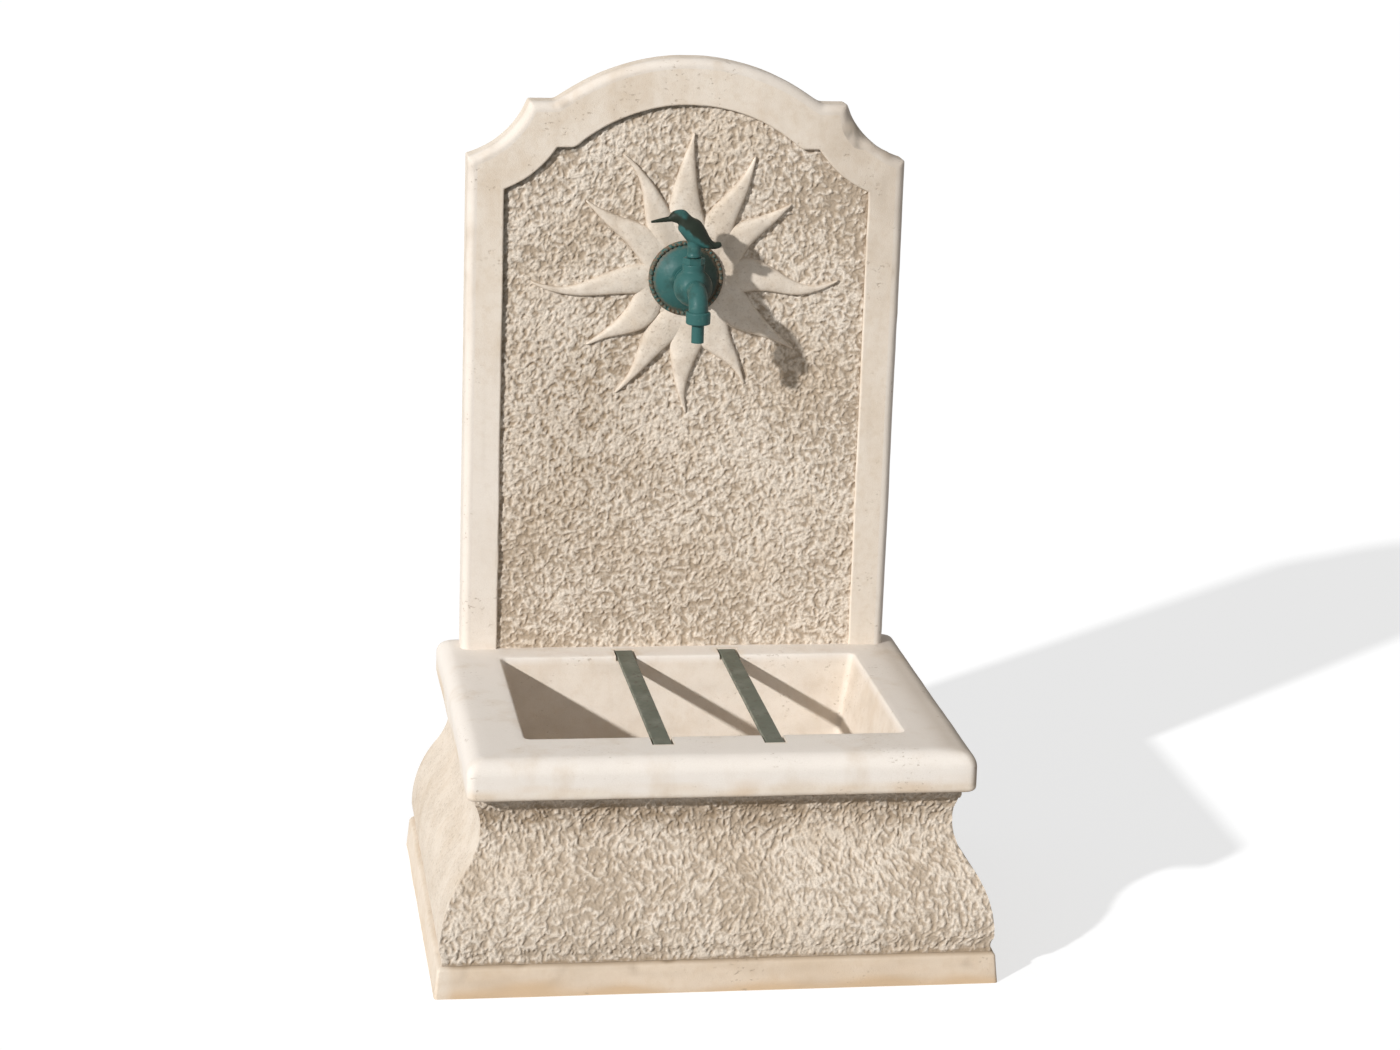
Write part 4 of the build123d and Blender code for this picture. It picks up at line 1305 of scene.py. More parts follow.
        # Painted shade: the field darkens near its left and upper borders, where the frame's shadow falls.
        border = np.minimum(across + self.inside.half, top - self.tuck - z)
        painted_nook_shade = (1 - ease(*self.shade_nook_reach, border)) * ease(*self.shade_nook_left, -across)
        painted_nook_shade = painted_nook_shade * (0.1 + 0.5 * ease(*self.shade_nook_up, z))
        recess = self.recess_foot + (self.recess_top - self.recess_foot) * share
        face = joined(across, front + recess - relief, z)
        behind = joined(across, front + self.plate_back - 0.1, z)
        pieces = []
        for band, rows in enumerate(np.array_split(np.arange(len(share)), self.bands)):
            reach = np.append(rows, rows[-1] + 1)[: len(share) - rows[0]]
            marks = {"soil": soil[reach], "grime": painted_nook_shade[reach], "rough": np.ones((len(reach), len(x)))}
            slab = Shell.slab(face[reach], behind[reach], **marks)
            pieces.append(piece_of(f"panel_field_{band + 1}", [slab], HAMMERED_CREASE))
            crisp_edge(pieces[-1])
        return pieces


@dataclass(frozen=True)
class Ray:
    """One ray of the sun: clock bearing, reach, root width, and how its middle line bends."""

    bearing: float
    reach: float
    root: float
    shift: float
    bend: float
    sway: float
    waist: float = 0.05


@dataclass
class SunRelief:
    """Twelve domed rays around the tap, grown from a low hub."""

    depth: float = 7.2
    sink: float = 2.5
    bearing_radius: float = 40.0
    hub_radius: float = 49.0
    hub_edge: float = 2.5
    hub_depth: float = 4.8
    tip_half: float = 8.0
    dome: float = 2.9
    swell: float = 0.3
    fall: float = 0.45
    root_start: float = -0.12
    lid_columns: int = 31
    bed_columns: int = 7
    rays: tuple[Ray, ...] = (
        Ray(2, 166, 56, 5, -8, -1, 0),
        Ray(29, 159, 50, 11, -2, -3, 0),
        Ray(55, 147, 50, 18, -11, -4, 0),
        Ray(91, 179, 50, 5, 2, -9),
        Ray(123, 154, 54, -12, 7, 2),
        Ray(150, 145, 58, -12, 8, 5),
        Ray(178, 160, 54, -8, 7, -2),
        Ray(210, 157, 44, -20, 2, 3),
        Ray(235, 137, 46, 8, -11, -3),
        Ray(268, 177, 38, 0, -9, 4),
        Ray(307, 145, 44, 0, 2, 2, 0),
        Ray(332, 159, 42, 3, 5, -3),
    )

    def ray_shell(self, ray: Ray, bed: float) -> Shell:
        """Shape one ray from root to tip.

        At share t of its length the middle line lies shift(1 - t) + 4 bend t(1 - t) + sway
        sin(2 pi t) aside, and the half width is root/2 (1 - t + waist sin(2 pi t)). Across it,
        at share s, the height is crest (1 - |s|^p)^(1/p), and the crest swells and then falls
        to the tip. The edge that faces right and down, away from the lamp, is darkened as painted shade.

        Args:
            ray: The ray's sizes.
            bed: Place of the field in depth.

        Returns:
            The closed ray, sunk a little into the field.
        """
        t = np.linspace(self.root_start, 1, 56)[:, None]
        lid_s = -np.cos(np.linspace(0, np.pi, self.lid_columns))
        s = np.append(lid_s, np.linspace(1, -1, self.bed_columns + 2)[1:-1])[None, :]
        lid = np.append(np.ones(self.lid_columns), np.zeros(self.bed_columns))[None, :]
        held = np.clip(t, 0, 1)
        wave = np.sin(2 * np.pi * held)
        middle = ray.shift * (1 - held) + 4 * ray.bend * held * (1 - held) + ray.sway * wave
        half = np.maximum(ray.root / 2 * (1 - t + ray.waist * wave), self.tip_half * np.sqrt(1 - held))
        along = self.bearing_radius + (ray.reach - self.bearing_radius) * t
        across = middle + half * s
        crest = self.depth * (1 + self.swell * np.sin(np.pi * held)) * (1 - self.fall * held**2)
        height = crest * (1 - np.abs(s) ** self.dome) ** (1 / self.dome) * lid
        bearing = math.radians(ray.bearing)
        sine, cosine = math.sin(bearing), math.cos(bearing)
        y = bed - height + self.sink * (1 - lid)
        grid = joined(along * sine + across * cosine, y, TAP_Z + along * cosine - across * sine)
        noise = Lattice(41)
        grid[..., 1] += (0.8 * noise.at(grid / 17.0) + 0.35 * noise.at(grid / 6.0)) * lid
        grid[-1] = grid[-1].mean(axis=0)
        stain = 0.1 + 0.3 * noise.at(grid / 13.0) + 0.3 * noise.at(grid / 34.0)
        # Painted shade: the side facing right and down, away from the lamp, takes dark soil and grime at its
        # edge.
        shaded_side = np.clip(s * (cosine + sine), 0, 1) * lid
        soil = np.clip(stain + (0.12 + 0.5 * shaded_side) * ease(0.75, 1.0, np.abs(s)), 0, 1) * lid
        grime = 0.45 * shaded_side * ease(0.88, 1.0, np.abs(s))
        return Shell.of_grid(grid, capped=True, soil=soil, grime=grime, rough=0.3 * lid)

    def build(self, stone: Material) -> None:
        """Join the rays and the hub's rounded disc.

        Args:
            stone: The finish.
        """
        bed = node_box("sun_relief")[1][1]
        face, back = self.hub_depth - bed, -bed - self.sink
        inset, drop = quarter(self.hub_edge, 8)
        edge = joined(self.hub_radius - inset, face - drop)
        profile = np.concatenate([[(POLE, back), (self.hub_radius, back)], edge, [(POLE, face)]])
        hub = Shell.turned(profile, np.array([0, 0, TAP_Z]), Turning.FRONT)
        shells = [self.ray_shell(ray, bed) for ray in self.rays] + [hub]
        dress(piece_of("sun_rays", shells), stone, Body.FOUNTAIN, Slot.STONE, "sun_relief")


def right_side_shade(points: Array, start: float) -> Array:
    """Return painted shade on the paint: it deepens over 9 mm to the right of a ragged upright line, away
    from the lamp.
    """
    return 0.85 * ease(start, start + 9.0, points[:, 0] + 5.0 * Lattice(62).at(points / 7.0))


@dataclass
class Rosette:
    """Domed cover plate with a raised border and a ring of worn beads."""

    border: float = 5.0
    rim: float = 6.0
    boss: float = 19.0
    bore: float = 11.98
    sides: int = 144
    beads: int = 46
    bead_radius: float = 2.5
    # Place along x where painted shade to the right starts.
    shade_from: float = 9.0

    def build(self, paint: Material) -> None:
        """Turn the plate's profile: border, cove, dome to the boss, bore; then set the beads.

        Args:
            paint: The finish.
        """
        low, high = node_box("rosette")
        radius, back, face = high[0], -high[1], -low[1]
        top = back + self.rim
        share = np.linspace(0, 1, 25)
        rise = 0.7 * share + 0.3 * np.sin(share * np.pi / 2)
        cove = radius - self.border
        dome = joined(cove + (self.boss - cove) * share, top - 1 + (face - top + 1) * rise)
        lip = [
            (self.bore, back),
            (radius - 0.8, back),
            (radius, back + 0.8),
            (radius, top - 2),
            (radius - 0.6, top - 0.8),
            (radius - 2, top),
            (cove + 1, top),
        ]
        profile = np.concatenate([lip, dome, [(self.bore + 0.6, face), (self.bore, face - 0.6)]])
        worn = np.concatenate([np.ones(len(lip)), 0.7 * (1 - ease(0, 0.25, share)), [0, 0]])
        centre = np.array([0, 0, (low[2] + high[2]) / 2])
        plate = Shell.turned(profile, centre, Turning.FRONT, self.sides, worn=worn)
        plate.caps.clear()
        plate.quads = np.concatenate([plate.quads, self.closing(len(profile))])
        # Painted shade: the plate darkens to the right, away from the lamp.
        plate.marks["dark"] = right_side_shade(plate.points, self.shade_from)
        angle = np.linspace(0, np.pi, 9)
        ball = joined(np.sin(angle) + 1e-4, -np.cos(angle))
        draw = np.random.default_rng(63)
        shells = [plate]
        for turn in np.linspace(0, 2 * np.pi, self.beads, endpoint=False):
            size = self.bead_radius * draw.uniform(0.75, 1.0)
            place = centre + (radius - self.bead_radius - 0.2) * np.array([np.cos(turn), 0, np.sin(turn)])
            place[1] = 0.8 - top
            worn = np.full(len(ball), draw.uniform(0.5, 1.0))
            shells.append(Shell.turned(ball * size, place, Turning.FRONT, 12, worn=worn))
        dress(piece_of("tap_rosette", shells), paint, Body.FOUNTAIN, Slot.PAINT, "rosette")

    def closing(self, rows: int) -> Array:
        """Join the profile's last row to its first, down the bore.

        Args:
            rows: Number of rows in the profile.

        Returns:
            One quad per column.
        """
        first = np.arange(self.sides)
        last = first + (rows - 1) * self.sides
        return joined(last, np.roll(last, -1), np.roll(first, -1), first)


@dataclass
class TapBody:
    """Cast tap body: ball chamber, rear barrel, gland boss and the bent spout in one skin."""

    chamber: float = 22.0
    barrel: float = 15.6
    boss: float = 12.6
    spout: float = 11.0
    bend: float = 19.0
    spout_reach: float = 45.0
    straight: float = 5.0
    grain: float = 0.75
    # Place along x where painted shade to the right starts.
    shade_from: float = 4.0

    def build(self, paint: Material) -> None:
        """Overlap turned shapes and a bent tube, then melt them together.

        Args:
            paint: The finish.
        """
        _, high = node_box("tap_body")
        hub = np.array([0, STEM_Y, TAP_Z])
        angle = np.linspace(0, np.pi, 40)
        ball = self.chamber * joined(np.sin(angle) + 1e-5, -np.cos(angle))
        barrel = np.array([(self.barrel, STEM_Y - high[1]), (self.barrel, -6.0), (self.barrel - 2, 0.0)])
        boss = np.array([(self.boss, 0.0), (self.boss, high[2] - TAP_Z)])
        turn = np.linspace(0, np.pi / 2, 20)
        corner_y = STEM_Y - self.spout_reach + self.bend
        bow = joined(0.0, corner_y - self.bend * np.sin(turn), TAP_Z - self.bend * (1 - np.cos(turn)))
        lead = [hub, (0, (STEM_Y + corner_y) / 2, TAP_Z)]
        path = np.concatenate([lead, bow, [bow[-1] - (0, 0, self.straight)]])
        heading = np.gradient(path, axis=0)
        heading /= np.linalg.norm(heading, axis=1, keepdims=True)
        across = np.array([1.0, 0, 0])
        bore = np.full(len(path), self.spout)
        shells = [
            Shell.turned(ball, hub, Turning.FRONT, 64),
            Shell.turned(barrel, hub, Turning.FRONT, 64),
            Shell.turned(boss, hub, Turning.UP, 64),
            Shell.tube(path, across, np.cross(heading, across), bore, bore),
        ]
        piece = piece_of("tap_casting", shells)
        fuse(piece, self.grain, 10)
        # Painted shade: the body darkens to the right, away from the lamp.
        set_mark(piece.data, "dark", right_side_shade(points_of(piece.data), self.shade_from))
        dress(piece, paint, Body.FOUNTAIN, Slot.PAINT, "tap_body")


@dataclass
class BirdHandle:
    """Bird that turns the tap: plump body, folded wings, a long beak and a hub over the stem.

    Stations run from face to tail: along the wall, above the hub's foot, half height, half
    width and heading in degrees.
    """

    hub_radius: float = 8.2
    hub_height: float = 20.0
    grain: float = 0.5
    body: Rows = (
        (-29.0, 43.6, 3.2, 3.0, 10),
        (-24.5, 45.6, 6.2, 5.4, 5),
        (-16.0, 45.3, 8.8, 7.8, -18),
        (-11.3, 38.6, 10.6, 9.4, -45),
        (-4.2, 33.2, 12.8, 11.2, -50),
        (2.2, 25.0, 12.4, 11.0, -56),
        (8.2, 18.6, 10.0, 9.2, -55),
        (15.5, 15.2, 6.2, 7.0, -40),
        (22.5, 13.2, 4.0, 5.4, -12),
        (27.5, 14.2, 3.6, 4.6, 14),
        (30.4, 15.2, 2.4, 3.4, 20),
    )
    beak: Rows = (
        (-49.6, 39.6, 1.3, 1.1, 12),
        (-40.0, 41.3, 2.3, 1.9, 11),
        (-31.0, 42.8, 3.0, 2.7, 9),
        (-24.0, 43.8, 3.6, 3.4, 8),
    )
    wing: Rows = (
        (-9.0, 36.0, 2.0, 1.6, -46),
        (-3.0, 30.0, 6.4, 2.8, -50),
        (4.0, 22.0, 6.2, 3.0, -48),
        (12.0, 15.6, 3.6, 2.2, -36),
        (20.0, 12.4, 1.0, 1.0, -20),
    )
    wing_out: float = 8.4
    crown_z: float = 46.0
    crown_x: float = -17.0
    lean: float = -38.0

    def lofted(self, stations: Rows, foot: float, out: float, count: int) -> Shell:
        """Carry an ellipse smoothly through stations.

        Args:
            stations: Rows of along, above, half height, half width and heading.
            foot: Height that the stations are counted from.
            out: Shift from the bird's middle plane.
            count: Number of ellipses.

        Returns:
            The closed shell.
        """
        row = through_points(np.array(stations), count)
        turn = np.radians(row[:, 4])
        path = joined(row[:, 0], STEM_Y + out, foot + row[:, 1])
        side = joined(-np.sin(turn), 0.0, np.cos(turn))
        return Shell.tube(path, np.array([0, 1.0, 0]), side, row[:, 2], row[:, 3])

    def build(self, paint: Material) -> None:
        """Overlap body, wings, beak and hub, then melt them together.

        Args:
            paint: The finish.
        """
        foot = node_box("bird_handle")[0][2]
        radius = self.hub_radius
        hub = np.array([(radius, 0.0), (radius, 3.0), (radius - 0.7, 4.0), (radius - 0.4, self.hub_height)])
        shells = [
            self.lofted(self.body, foot, 0.0, 60),
            self.lofted(self.beak, foot, 0.0, 24),
            self.lofted(self.wing, foot, -self.wing_out, 40),
            self.lofted(self.wing, foot, self.wing_out, 40),
            Shell.turned(hub, np.array([0, STEM_Y, foot]), Turning.UP, 48),
        ]
        piece = piece_of("bird_casting", shells)
        fuse(piece, self.grain, 5)
        self.darken(piece, foot)
        dress(piece, paint, Body.HANDLE, Slot.PAINT, "bird_handle")

    def darken(self, piece: Object, foot: float) -> None:
        """Mark the bird's darker back: past a line along its body, and on its face below the crown.

        Args:
            piece: The melted bird.
            foot: Height of the hub's foot.
        """
        points = points_of(piece.data)
        right, up = points[:, 0] - self.crown_x, points[:, 2] - foot - self.crown_z
        turn = math.radians(self.lean)
        along = right * math.cos(turn) + up * math.sin(turn)
        above = up * math.cos(turn) - right * math.sin(turn)
        rear = ease(2.0, 8.0, along)
        ragged = 3.0 * Lattice(61).at(points / 5.0)
        back = np.maximum(ease(-8.5, -5.0, above + ragged), ease(12.0, 17.0, points[:, 0]))
        dark = rear * back + (1 - rear) * (1 - ease(-1.0, 4.0, above + ragged))
        body = np.maximum(ease(14.0, 17.0, points[:, 2] - foot), ease(10.0, 14.0, points[:, 0]))
        set_mark(piece.data, "dark", dark * body)


@dataclass
class BucketBar:
    """Flat iron across the pocket, with worn edges."""

    node: str
    body: Body
    seed: int
    edge: float = 1.1
    end_share: float = 0.94
    columns: LoopColumns = LoopColumns(front=14, side=3, rear=14, corner=6)

    def build(self, iron: Material) -> None:
        """Run a rounded flat section along the bar: edges a quarter round, faces slightly wavy.

        Args:
            iron: The finish.
        """
        low, high = node_box(self.node)
        middle, size = (low + high) / 2, (high - low) / 2
        ends = np.array([0.0, 0.4])
        y = np.concatenate([ends, np.linspace(1.2, 2 * size[1] - 1.2, 120), 2 * size[1] - ends[::-1]])
        shrink = np.ones(len(y))
        shrink[[0, -1]] = self.end_share
        half, thick = size[0] * shrink, size[2] * shrink
        section = self.columns.loops(joined(half, -thick, thick, self.edge, y))
        grid = section[..., [0, 2, 1]] + (middle[0], low[1], middle[2])
        dent = 0.12 * Lattice(self.seed).at(grid / (16.0, 30.0, 9.0))
        inside = (grid - middle) / np.linalg.norm(grid - middle, axis=-1, keepdims=True)
        shape = grid + inside * np.minimum(dent - 0.05, 0)[..., None]
        rub = patches(grid, 52, 8.0, -0.3, 0.3)
        worn = 0.8 * rub * ease(size[0] - 1.2, size[0] - 0.2, np.abs(section[..., 0]))
        piece = piece_of(self.node + "_iron", [Shell.of_grid(shape, capped=True, worn=worn)])
        dress(piece, iron, self.body, Slot.IRON, self.node)


class NodeSheet:
    """The node tree of a material or a world, with short ways to place and join nodes."""

    def __init__(self, owner: Material | World) -> None:
        """Open a node tree.

        Args:
            owner: The material or world whose tree it is.
        """
        owner.use_nodes = True
        self.owner = owner
        self.nodes = owner.node_tree.nodes

    def feed(self, node: Node, inputs: Inputs) -> None:
        """Set a node's inputs.

        Args:
            node: The node.
            inputs: Constants, or sockets to join, by the inputs' names or numbers.
        """
        for name, value in inputs.items():
            if isinstance(value, NodeSocket):
                self.owner.node_tree.links.new(value, node.inputs[name])
            else:
                node.inputs[name].default_value = value

    def add(self, kind: str, inputs: Inputs | None = None, **settings: str) -> Node:
        """Add a node.

        Args:
            kind: Blender's name of the node.
            inputs: Constants or sockets for its inputs, by name or number.
            **settings: The node's own options.

        Returns:
            The new node.
        """
        node = self.nodes.new(kind)
        for name, value in settings.items():
            setattr(node, name, value)
        self.feed(node, inputs or {})
        return node

    def noise(self, scale: float, detail: float = 4.0, stretch: Point = (1, 1, 1)) -> NodeSocket:
        """Add noise over the Object coordinates.

        Args:
            scale: Number of cells to the metre.
            detail: Number of finer layers.
            stretch: Share of the scale along each axis.

        Returns:
            Socket of the noise.
        """
        spot = self.add("ShaderNodeTexCoord").outputs["Object"]
        place = self.add("ShaderNodeMapping", {"Vector": spot, "Scale": stretch}).outputs["Vector"]
        wave = {"Vector": place, "Scale": scale, "Detail": detail, "Roughness": 0.6}
        return self.add("ShaderNodeTexNoise", wave).outputs["Fac"]

    def between(self, value: NodeSocket, low: float, high: float, to: Span = (0.0, 1.0)) -> NodeSocket:
        """Ease a value from one range to another."""
        inputs = {"Value": value, "From Min": low, "From Max": high, "To Min": to[0], "To Max": to[1]}
        return self.add("ShaderNodeMapRange", inputs, interpolation_type="SMOOTHSTEP").outputs["Result"]

    def layers(self, tone: NodeSocket | Colour, *coats: tuple[NodeSocket, Colour]) -> NodeSocket:
        """Lay coats of colour over a first one.

        Args:
            tone: The first colour.
            *coats: Share and colour of each coat, in order.

        Returns:
            Socket of the colour on top.
        """
        for share, colour in coats:
            mixed = self.add("ShaderNodeMix", {0: share, 6: tone, 7: colour}, data_type="RGBA")
            tone = mixed.outputs[2]
        return tone

    def mark(self, name: str) -> NodeSocket:
        """Return a value kept at the piece's own points."""
        return self.add("ShaderNodeAttribute", attribute_name=name).outputs["Fac"]

    def combine(self, operation: str, first: Value, second: Value) -> NodeSocket:
        """Work out two values by an operation."""
        return self.add("ShaderNodeMath", {0: first, 1: second}, operation=operation).outputs[0]

    def times(self, first: Value, second: Value) -> NodeSocket:
        """Multiply two values."""
        return self.combine("MULTIPLY", first, second)

    def background_rays(self) -> NodeSocket:
        """Find the rays that see the background directly, by reflection or through glass.

        Returns:
            Socket that is 1 for those rays.
        """
        path = self.add("ShaderNodeLightPath").outputs
        beyond = self.combine("MAXIMUM", path["Is Glossy Ray"], path["Is Transmission Ray"])
        return self.combine("MAXIMUM", path["Is Camera Ray"], beyond)

    def finish(
        self, colour: NodeSocket, rough: NodeSocket, height: NodeSocket, lift: float, **constants: float
    ) -> Material:
        """Join colour, roughness and bump to the shader.

        Args:
            colour: Socket of the surface colour.
            rough: Socket of the roughness.
            height: Socket of the bump's height.
            lift: Height of the bump in millimetres.
            **constants: Other inputs of the shader, with underscores for spaces.

        Returns:
            The finished material.
        """
        bump = self.add("ShaderNodeBump", {"Height": height, "Distance": lift * MM, "Strength": 1.0})
        inputs = {"Base Color": colour, "Roughness": rough, "Normal": bump.outputs["Normal"]}
        inputs |= {name.replace("_", " "): value for name, value in constants.items()}
        self.feed(self.nodes["Principled BSDF"], inputs)
        return self.owner


@dataclass(frozen=True)
class CastStone:
    """Cream cast stone with brown stains and smears, a few pits, soil in its hollows, and painted shade in
    its recesses and on faces turned from the lamp.
    """

    cream: Colour = (0.81, 0.72, 0.615, 1)
    stain: Colour = (0.64, 0.51, 0.375, 1)
    pit: Colour = (0.40, 0.31, 0.22, 1)
    # Brown of soil, also used for painted shade.
    soil: Colour = (0.36, 0.272, 0.187, 1)
    bloom: Colour = (0.845, 0.785, 0.72, 1)
    warm: Colour = (0.66, 0.48, 0.31, 1)
    # Near black, used for painted shade.
    grime: Colour = (0.07, 0.066, 0.05, 1)

    def material(self) -> Material:
        """Layer clouds of stain, smears, pits and the marks for soil with painted shade, bloom, warmth, and
        dark painted shade.

        Returns:
            The material.
        """
        sheet = NodeSheet(bpy.data.materials.new("cream_cast_stone"))
        hammered = sheet.mark("rough")
        cloud = sheet.between(sheet.noise(11.0, 8.0), 0.44, 0.74, (0.0, 0.5))
        mottle = sheet.between(sheet.noise(95.0, 6.0), 0.42, 0.74, (0.0, 0.36))
        smear = sheet.between(sheet.noise(46.0, 6.0, (0.45, 0.45, 0.2)), 0.5, 0.78, (0.0, 0.45))
        smear = sheet.times(smear, sheet.between(hammered, 0.0, 0.4, (1.0, 0.3)))
        spread = sheet.between(sheet.noise(17.0, 3.0), 0.5, 0.62)
        pits = sheet.times(sheet.between(sheet.noise(300.0, 2.0, (0.6, 1.0, 1.0)), 0.62, 0.7), spread)
        grain = sheet.noise(1300.0, 3.0)
        grit = sheet.noise(430.0, 3.0)
        fleck = sheet.times(sheet.between(grit, 0.45, 0.7, (0.0, 0.45)), hammered)
        some, not_all = sheet.between(hammered, 0.1, 0.4), sheet.between(hammered, 0.75, 0.95, (1.0, 0.0))
        speck = sheet.times(sheet.between(sheet.noise(250.0, 3.0), 0.54, 0.68), sheet.times(some, not_all))
        tone = sheet.layers(
            self.cream,
            (cloud, self.stain),
            (mottle, self.stain),
            (sheet.times(sheet.mark("bloom"), 0.88), self.bloom),
            (smear, self.stain),
            (sheet.mark("warm"), self.warm),
            (sheet.times(pits, 0.5), self.pit),
            # The soil mark darkens by real soil and by painted shade; the next, near-black mark is painted
            # shade in recesses and on edges away from the lamp.
            (sheet.mark("soil"), self.soil),
            (sheet.mark("grime"), self.grime),
            (sheet.between(grain, 0.35, 0.75, (0.0, 0.14)), self.pit),
            (fleck, self.soil),
            (sheet.times(speck, 0.38), self.soil),
        )
        coarse = sheet.times(grit, sheet.between(hammered, 0.0, 1.0, (0.2, -2.4)))
        height = sheet.combine("ADD", sheet.combine("SUBTRACT", grain, pits), coarse)
        rough = sheet.between(cloud, 0.0, 0.5, (0.82, 0.95))
        return sheet.finish(tone, rough, height, 0.35, Specular_IOR_Level=0.2)


@dataclass(frozen=True)
class VerdigrisPaint:
    """Sea-green paint over brass, rubbed brown where it is worn, nearly black in the bird's dark patina, and
    in painted shade to the right of the rosette and tap body.
    """

    green: Colour = (0.033, 0.110, 0.103, 1)
    deep: Colour = (0.022, 0.058, 0.050, 1)
    chalk: Colour = (0.085, 0.165, 0.145, 1)
    # Near black, for the bird's patina and for painted shade.
    black_patina_and_shade: Colour = (0.016, 0.020, 0.012, 1)
    brown: Colour = (0.150, 0.105, 0.068, 1)

    def material(self) -> Material:
        """Layer deep and chalky patches over the green, then the dark mark (the bird's patina, and painted
        shade on the rosette and tap body) and the worn places.

        Returns:
            The material.
        """
        sheet = NodeSheet(bpy.data.materials.new("verdigris_paint"))
        rub = sheet.between(sheet.noise(240.0, 4.0), 0.36, 0.54)
        tone = sheet.layers(
            self.green,
            (sheet.between(sheet.noise(48.0, 5.0), 0.5, 0.68, (0.0, 0.75)), self.deep),
            (sheet.between(sheet.noise(110.0, 6.0), 0.56, 0.74, (0.0, 0.5)), self.chalk),
            # Near black: the bird's dark patina, and painted shade on the right of the rosette and tap body.
            (sheet.times(sheet.mark("dark"), 0.96), self.black_patina_and_shade),
            (sheet.times(rub, sheet.mark("worn")), self.brown),
        )
        rough = sheet.between(sheet.noise(90.0, 4.0), 0.3, 0.7, (0.34, 0.55))
        return sheet.finish(tone, rough, sheet.noise(260.0, 5.0), 0.3, Specular_IOR_Level=0.18)


@dataclass(frozen=True)
class PaintedIron:
    """Dark green-grey paint on flat iron, rubbed pale on the edges, with a little rust."""

    paint: Colour = (0.108, 0.120, 0.092, 1)
    pale: Colour = (0.25, 0.245, 0.20, 1)
    rust: Colour = (0.085, 0.062, 0.042, 1)

    def material(self) -> Material:
        """Layer dark flecks and pale wear over the paint.

        Returns:
            The material.
        """
        sheet = NodeSheet(bpy.data.materials.new("worn_iron_paint"))
        dust = sheet.between(sheet.noise(48.0, 6.0), 0.42, 0.72, (0.0, 0.5))
        fleck = sheet.between(sheet.noise(150.0, 4.0), 0.54, 0.7, (0.0, 0.6))
        tone = sheet.layers(
            self.paint, (dust, self.pale), (sheet.mark("worn"), self.pale), (fleck, self.rust)
        )
        rough = sheet.between(dust, 0.0, 0.5, (0.55, 0.75))
        return sheet.finish(tone, rough, sheet.noise(500.0, 4.0), 0.15, Specular_IOR_Level=0.35)


@dataclass(frozen=True)
class FittingFinish:
    """Finish of a small fitting: two close tones, a range of roughness and a fine bump."""

    name: str
    light: Colour
    dark: Colour
    rough: Span
    metallic: float = 0.0
    scale: float = 140.0
    lift: float = 0.04

    def material(self) -> Material:
        """Cloud the two tones and the roughness by the same noise.

        Returns:
            The material.
        """
        sheet = NodeSheet(bpy.data.materials.new(self.name))
        cloud = sheet.noise(self.scale, 5.0)
        tone = sheet.layers(self.light, (sheet.between(cloud, 0.35, 0.7), self.dark))
        rough = sheet.between(cloud, 0.3, 0.7, self.rough)
        return sheet.finish(tone, rough, sheet.noise(self.scale * 6, 3.0), self.lift, Metallic=self.metallic)


FITTINGS: dict[Slot, FittingFinish] = {
    Slot.BRASS: FittingFinish(
        "turned_brass", (0.72, 0.52, 0.24, 1), (0.48, 0.33, 0.14, 1), (0.25, 0.45), metallic=1.0
    ),
    Slot.STEEL: FittingFinish(
        "stainless_steel", (0.60, 0.60, 0.59, 1), (0.42, 0.42, 0.42, 1), (0.3, 0.45), metallic=1.0
    ),
    Slot.CHROME: FittingFinish(
        "plated_ball", (0.82, 0.82, 0.84, 1), (0.70, 0.70, 0.72, 1), (0.06, 0.14), metallic=1.0
    ),
    Slot.SEAT: FittingFinish("seat_plastic", (0.80, 0.80, 0.77, 1), (0.70, 0.69, 0.65, 1), (0.4, 0.55)),
    Slot.RUBBER: FittingFinish("seal_rubber", (0.03, 0.03, 0.03, 1), (0.016, 0.016, 0.016, 1), (0.6, 0.8)),
}


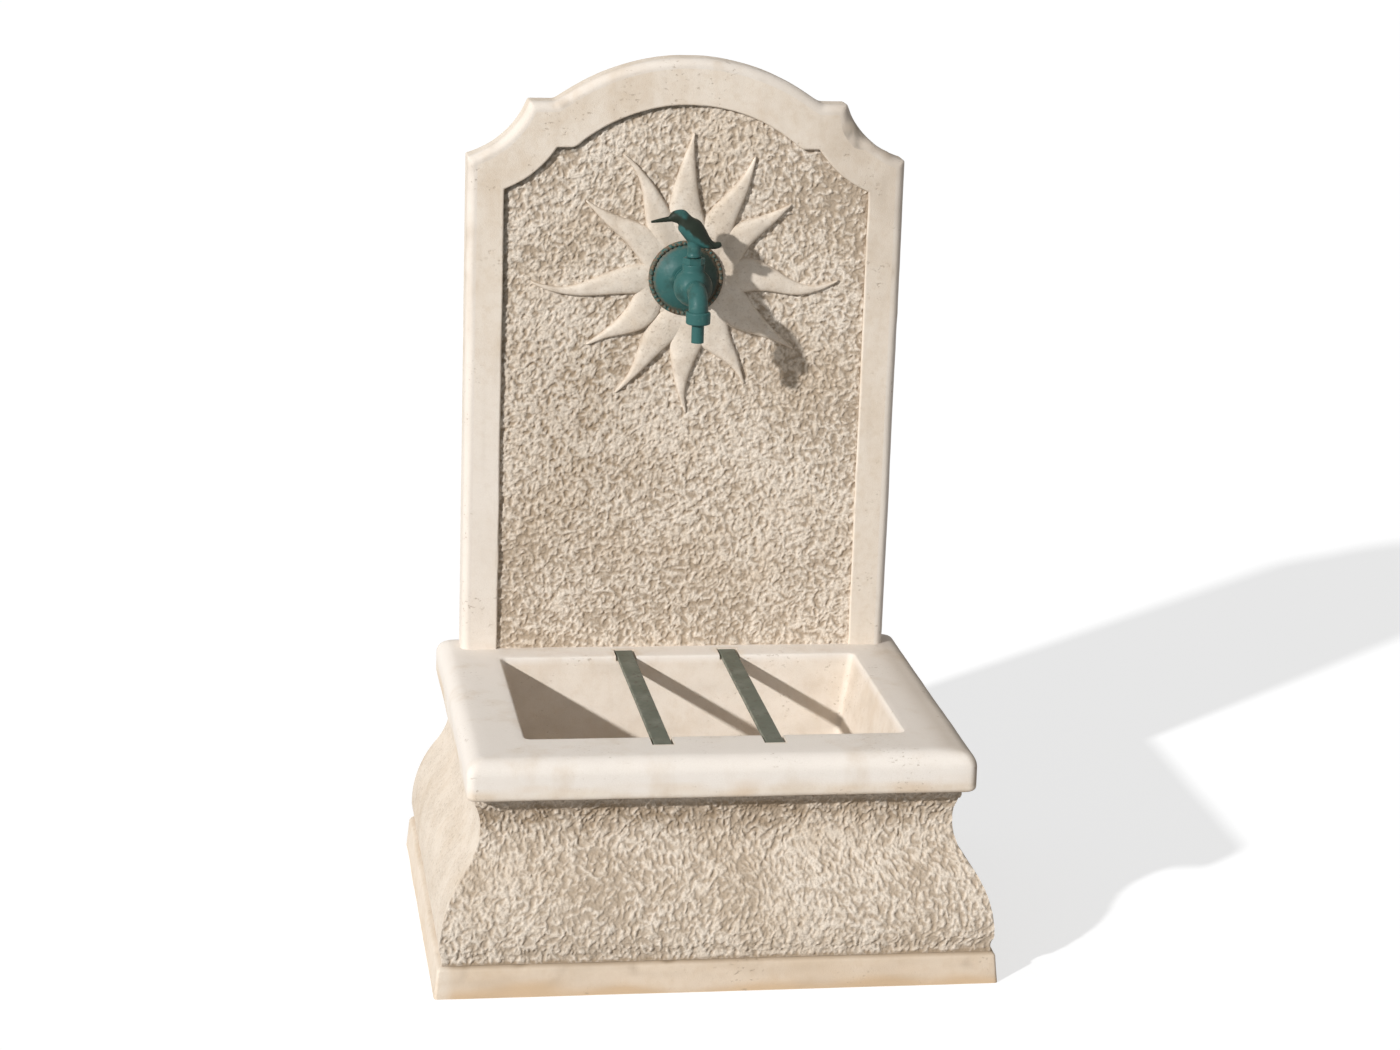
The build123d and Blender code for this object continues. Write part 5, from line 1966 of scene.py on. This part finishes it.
@dataclass(frozen=True)
class Studio:
    """Pale floor, a soft key lamp from the front left and even fill from all round."""

    key: float = 3.45
    softness: float = 1.6
    travel: Point = (134.0, 114.0, -78.0)
    fill: float = 0.36
    floor_tone: float = 0.5
    floor_lift: float = 0.62
    floor_reach: float = 60.0

    def world(self) -> None:
        """Light evenly from all round, and show white to the rays that see the background."""
        sheet = NodeSheet(bpy.data.worlds.new("studio"))
        fill = sheet.nodes["Background"]
        sheet.feed(fill, {"Color": WHITE, "Strength": self.fill})
        shown = sheet.add("ShaderNodeBackground", {"Color": WHITE})
        lights = {0: sheet.background_rays(), 1: fill.outputs[0], 2: shown.outputs[0]}
        choose = sheet.add("ShaderNodeMixShader", lights)
        sheet.feed(sheet.nodes["World Output"], {"Surface": choose.outputs[0]})
        bpy.context.scene.world = sheet.owner

    def floor(self) -> None:
        """Lay a pale floor that keeps the shadow and shows near white."""
        sheet = NodeSheet(bpy.data.materials.new("pale_floor"))
        inputs = {
            "Base Color": (self.floor_tone,) * 3 + (1,),
            "Roughness": 1.0,
            "Specular IOR Level": 0.0,
            "Emission Color": WHITE,
            "Emission Strength": sheet.times(sheet.background_rays(), self.floor_lift),
        }
        sheet.feed(sheet.nodes["Principled BSDF"], inputs)
        mesh = bpy.data.meshes.new("floor")
        corners = np.array([(-1, -1, 0), (1, -1, 0), (1, 1, 0), (-1, 1, 0)]) * self.floor_reach
        mesh.from_pydata(corners, [], [(0, 1, 2, 3)])
        mesh.materials.append(sheet.owner)
        plane = placed("floor", mesh)

    def lamp(self) -> None:
        """Hang the key lamp so that its light travels to the right, back and down."""
        lamp = bpy.data.lights.new("key", "SUN")
        lamp.energy = self.key
        lamp.angle = math.radians(self.softness)
        back = -np.array(self.travel) / np.linalg.norm(self.travel)
        right = np.cross((0, 0, 1), back)
        right /= np.linalg.norm(right)
        turn = Matrix(np.stack([right, np.cross(back, right), back], axis=1).tolist())
        placed("key", lamp).rotation_euler = turn.to_euler()

    def build(self) -> None:
        """Set the stage."""
        self.world()
        self.floor()
        self.lamp()
        bpy.context.scene.view_settings.view_transform = "Standard"


@dataclass(frozen=True)
class PhotoCamera:
    """Camera at the photograph's angle: place in metres; yaw, pitch down and roll in degrees."""

    lens: float = 83.505
    sensor: float = 36.0
    place: Point = (-0.54815, -3.43774, 1.3910)
    yaw: float = 9.0455
    pitch: float = 15.018
    roll: float = 1.902

    def build(self) -> None:
        """Point the camera forward by yaw and pitch, then turn it about that line by the roll."""
        yaw, pitch, roll = (math.radians(angle) for angle in (self.yaw, self.pitch, self.roll))
        ahead = math.cos(pitch)
        forward = np.array([math.sin(yaw) * ahead, math.cos(yaw) * ahead, -math.sin(pitch)])
        level = np.array([math.cos(yaw), -math.sin(yaw), 0])
        plumb = np.cross(level, forward)
        right = math.cos(roll) * level + math.sin(roll) * plumb
        up = math.cos(roll) * plumb - math.sin(roll) * level
        data = bpy.data.cameras.new("photo_camera")
        data.sensor_fit = "HORIZONTAL"
        data.sensor_width = self.sensor
        data.lens = self.lens
        turn = Matrix(np.stack([right, up, -forward], axis=1).tolist())
        camera = placed("photo_camera", data)
        camera.matrix_world = Matrix.Translation(self.place) @ turn.to_4x4()
        bpy.context.scene.camera = camera


def dress_nodes(finishes: dict[str, Material]) -> None:
    """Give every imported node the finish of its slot.

    Args:
        finishes: The finish for each slot's name.
    """
    for part in frame["record"]["subparts"]:
        node = frame["nodes"][part["node"]]
        node.data.materials.clear()
        node.data.materials.append(finishes[part["material_slot"]])


def main() -> None:
    """Dress the part, piece by piece, then set the stage and the camera."""
    logging.basicConfig(level=logging.INFO, format="%(message)s")
    PhotoCamera().build()
    Studio().build()
    stone, paint, iron = CastStone().material(), VerdigrisPaint().material(), PaintedIron().material()
    finishes = {slot.value: finish.material() for slot, finish in FITTINGS.items()}
    finishes |= {Slot.STONE.value: stone, Slot.PAINT.value: paint, Slot.IRON.value: iron}
    dress_nodes(finishes)
    Plinth().build(stone)
    Basin().build(stone)
    BackPanel().build(stone)
    SunRelief().build(stone)
    Rosette().build(paint)
    TapBody().build(paint)
    BirdHandle().build(paint)
    BucketBar("bucket_bar_left", Body.BAR_LEFT, seed=51).build(iron)
    BucketBar("bucket_bar_right", Body.BAR_RIGHT, seed=53).build(iron)


if __name__ == "__main__":
    main()
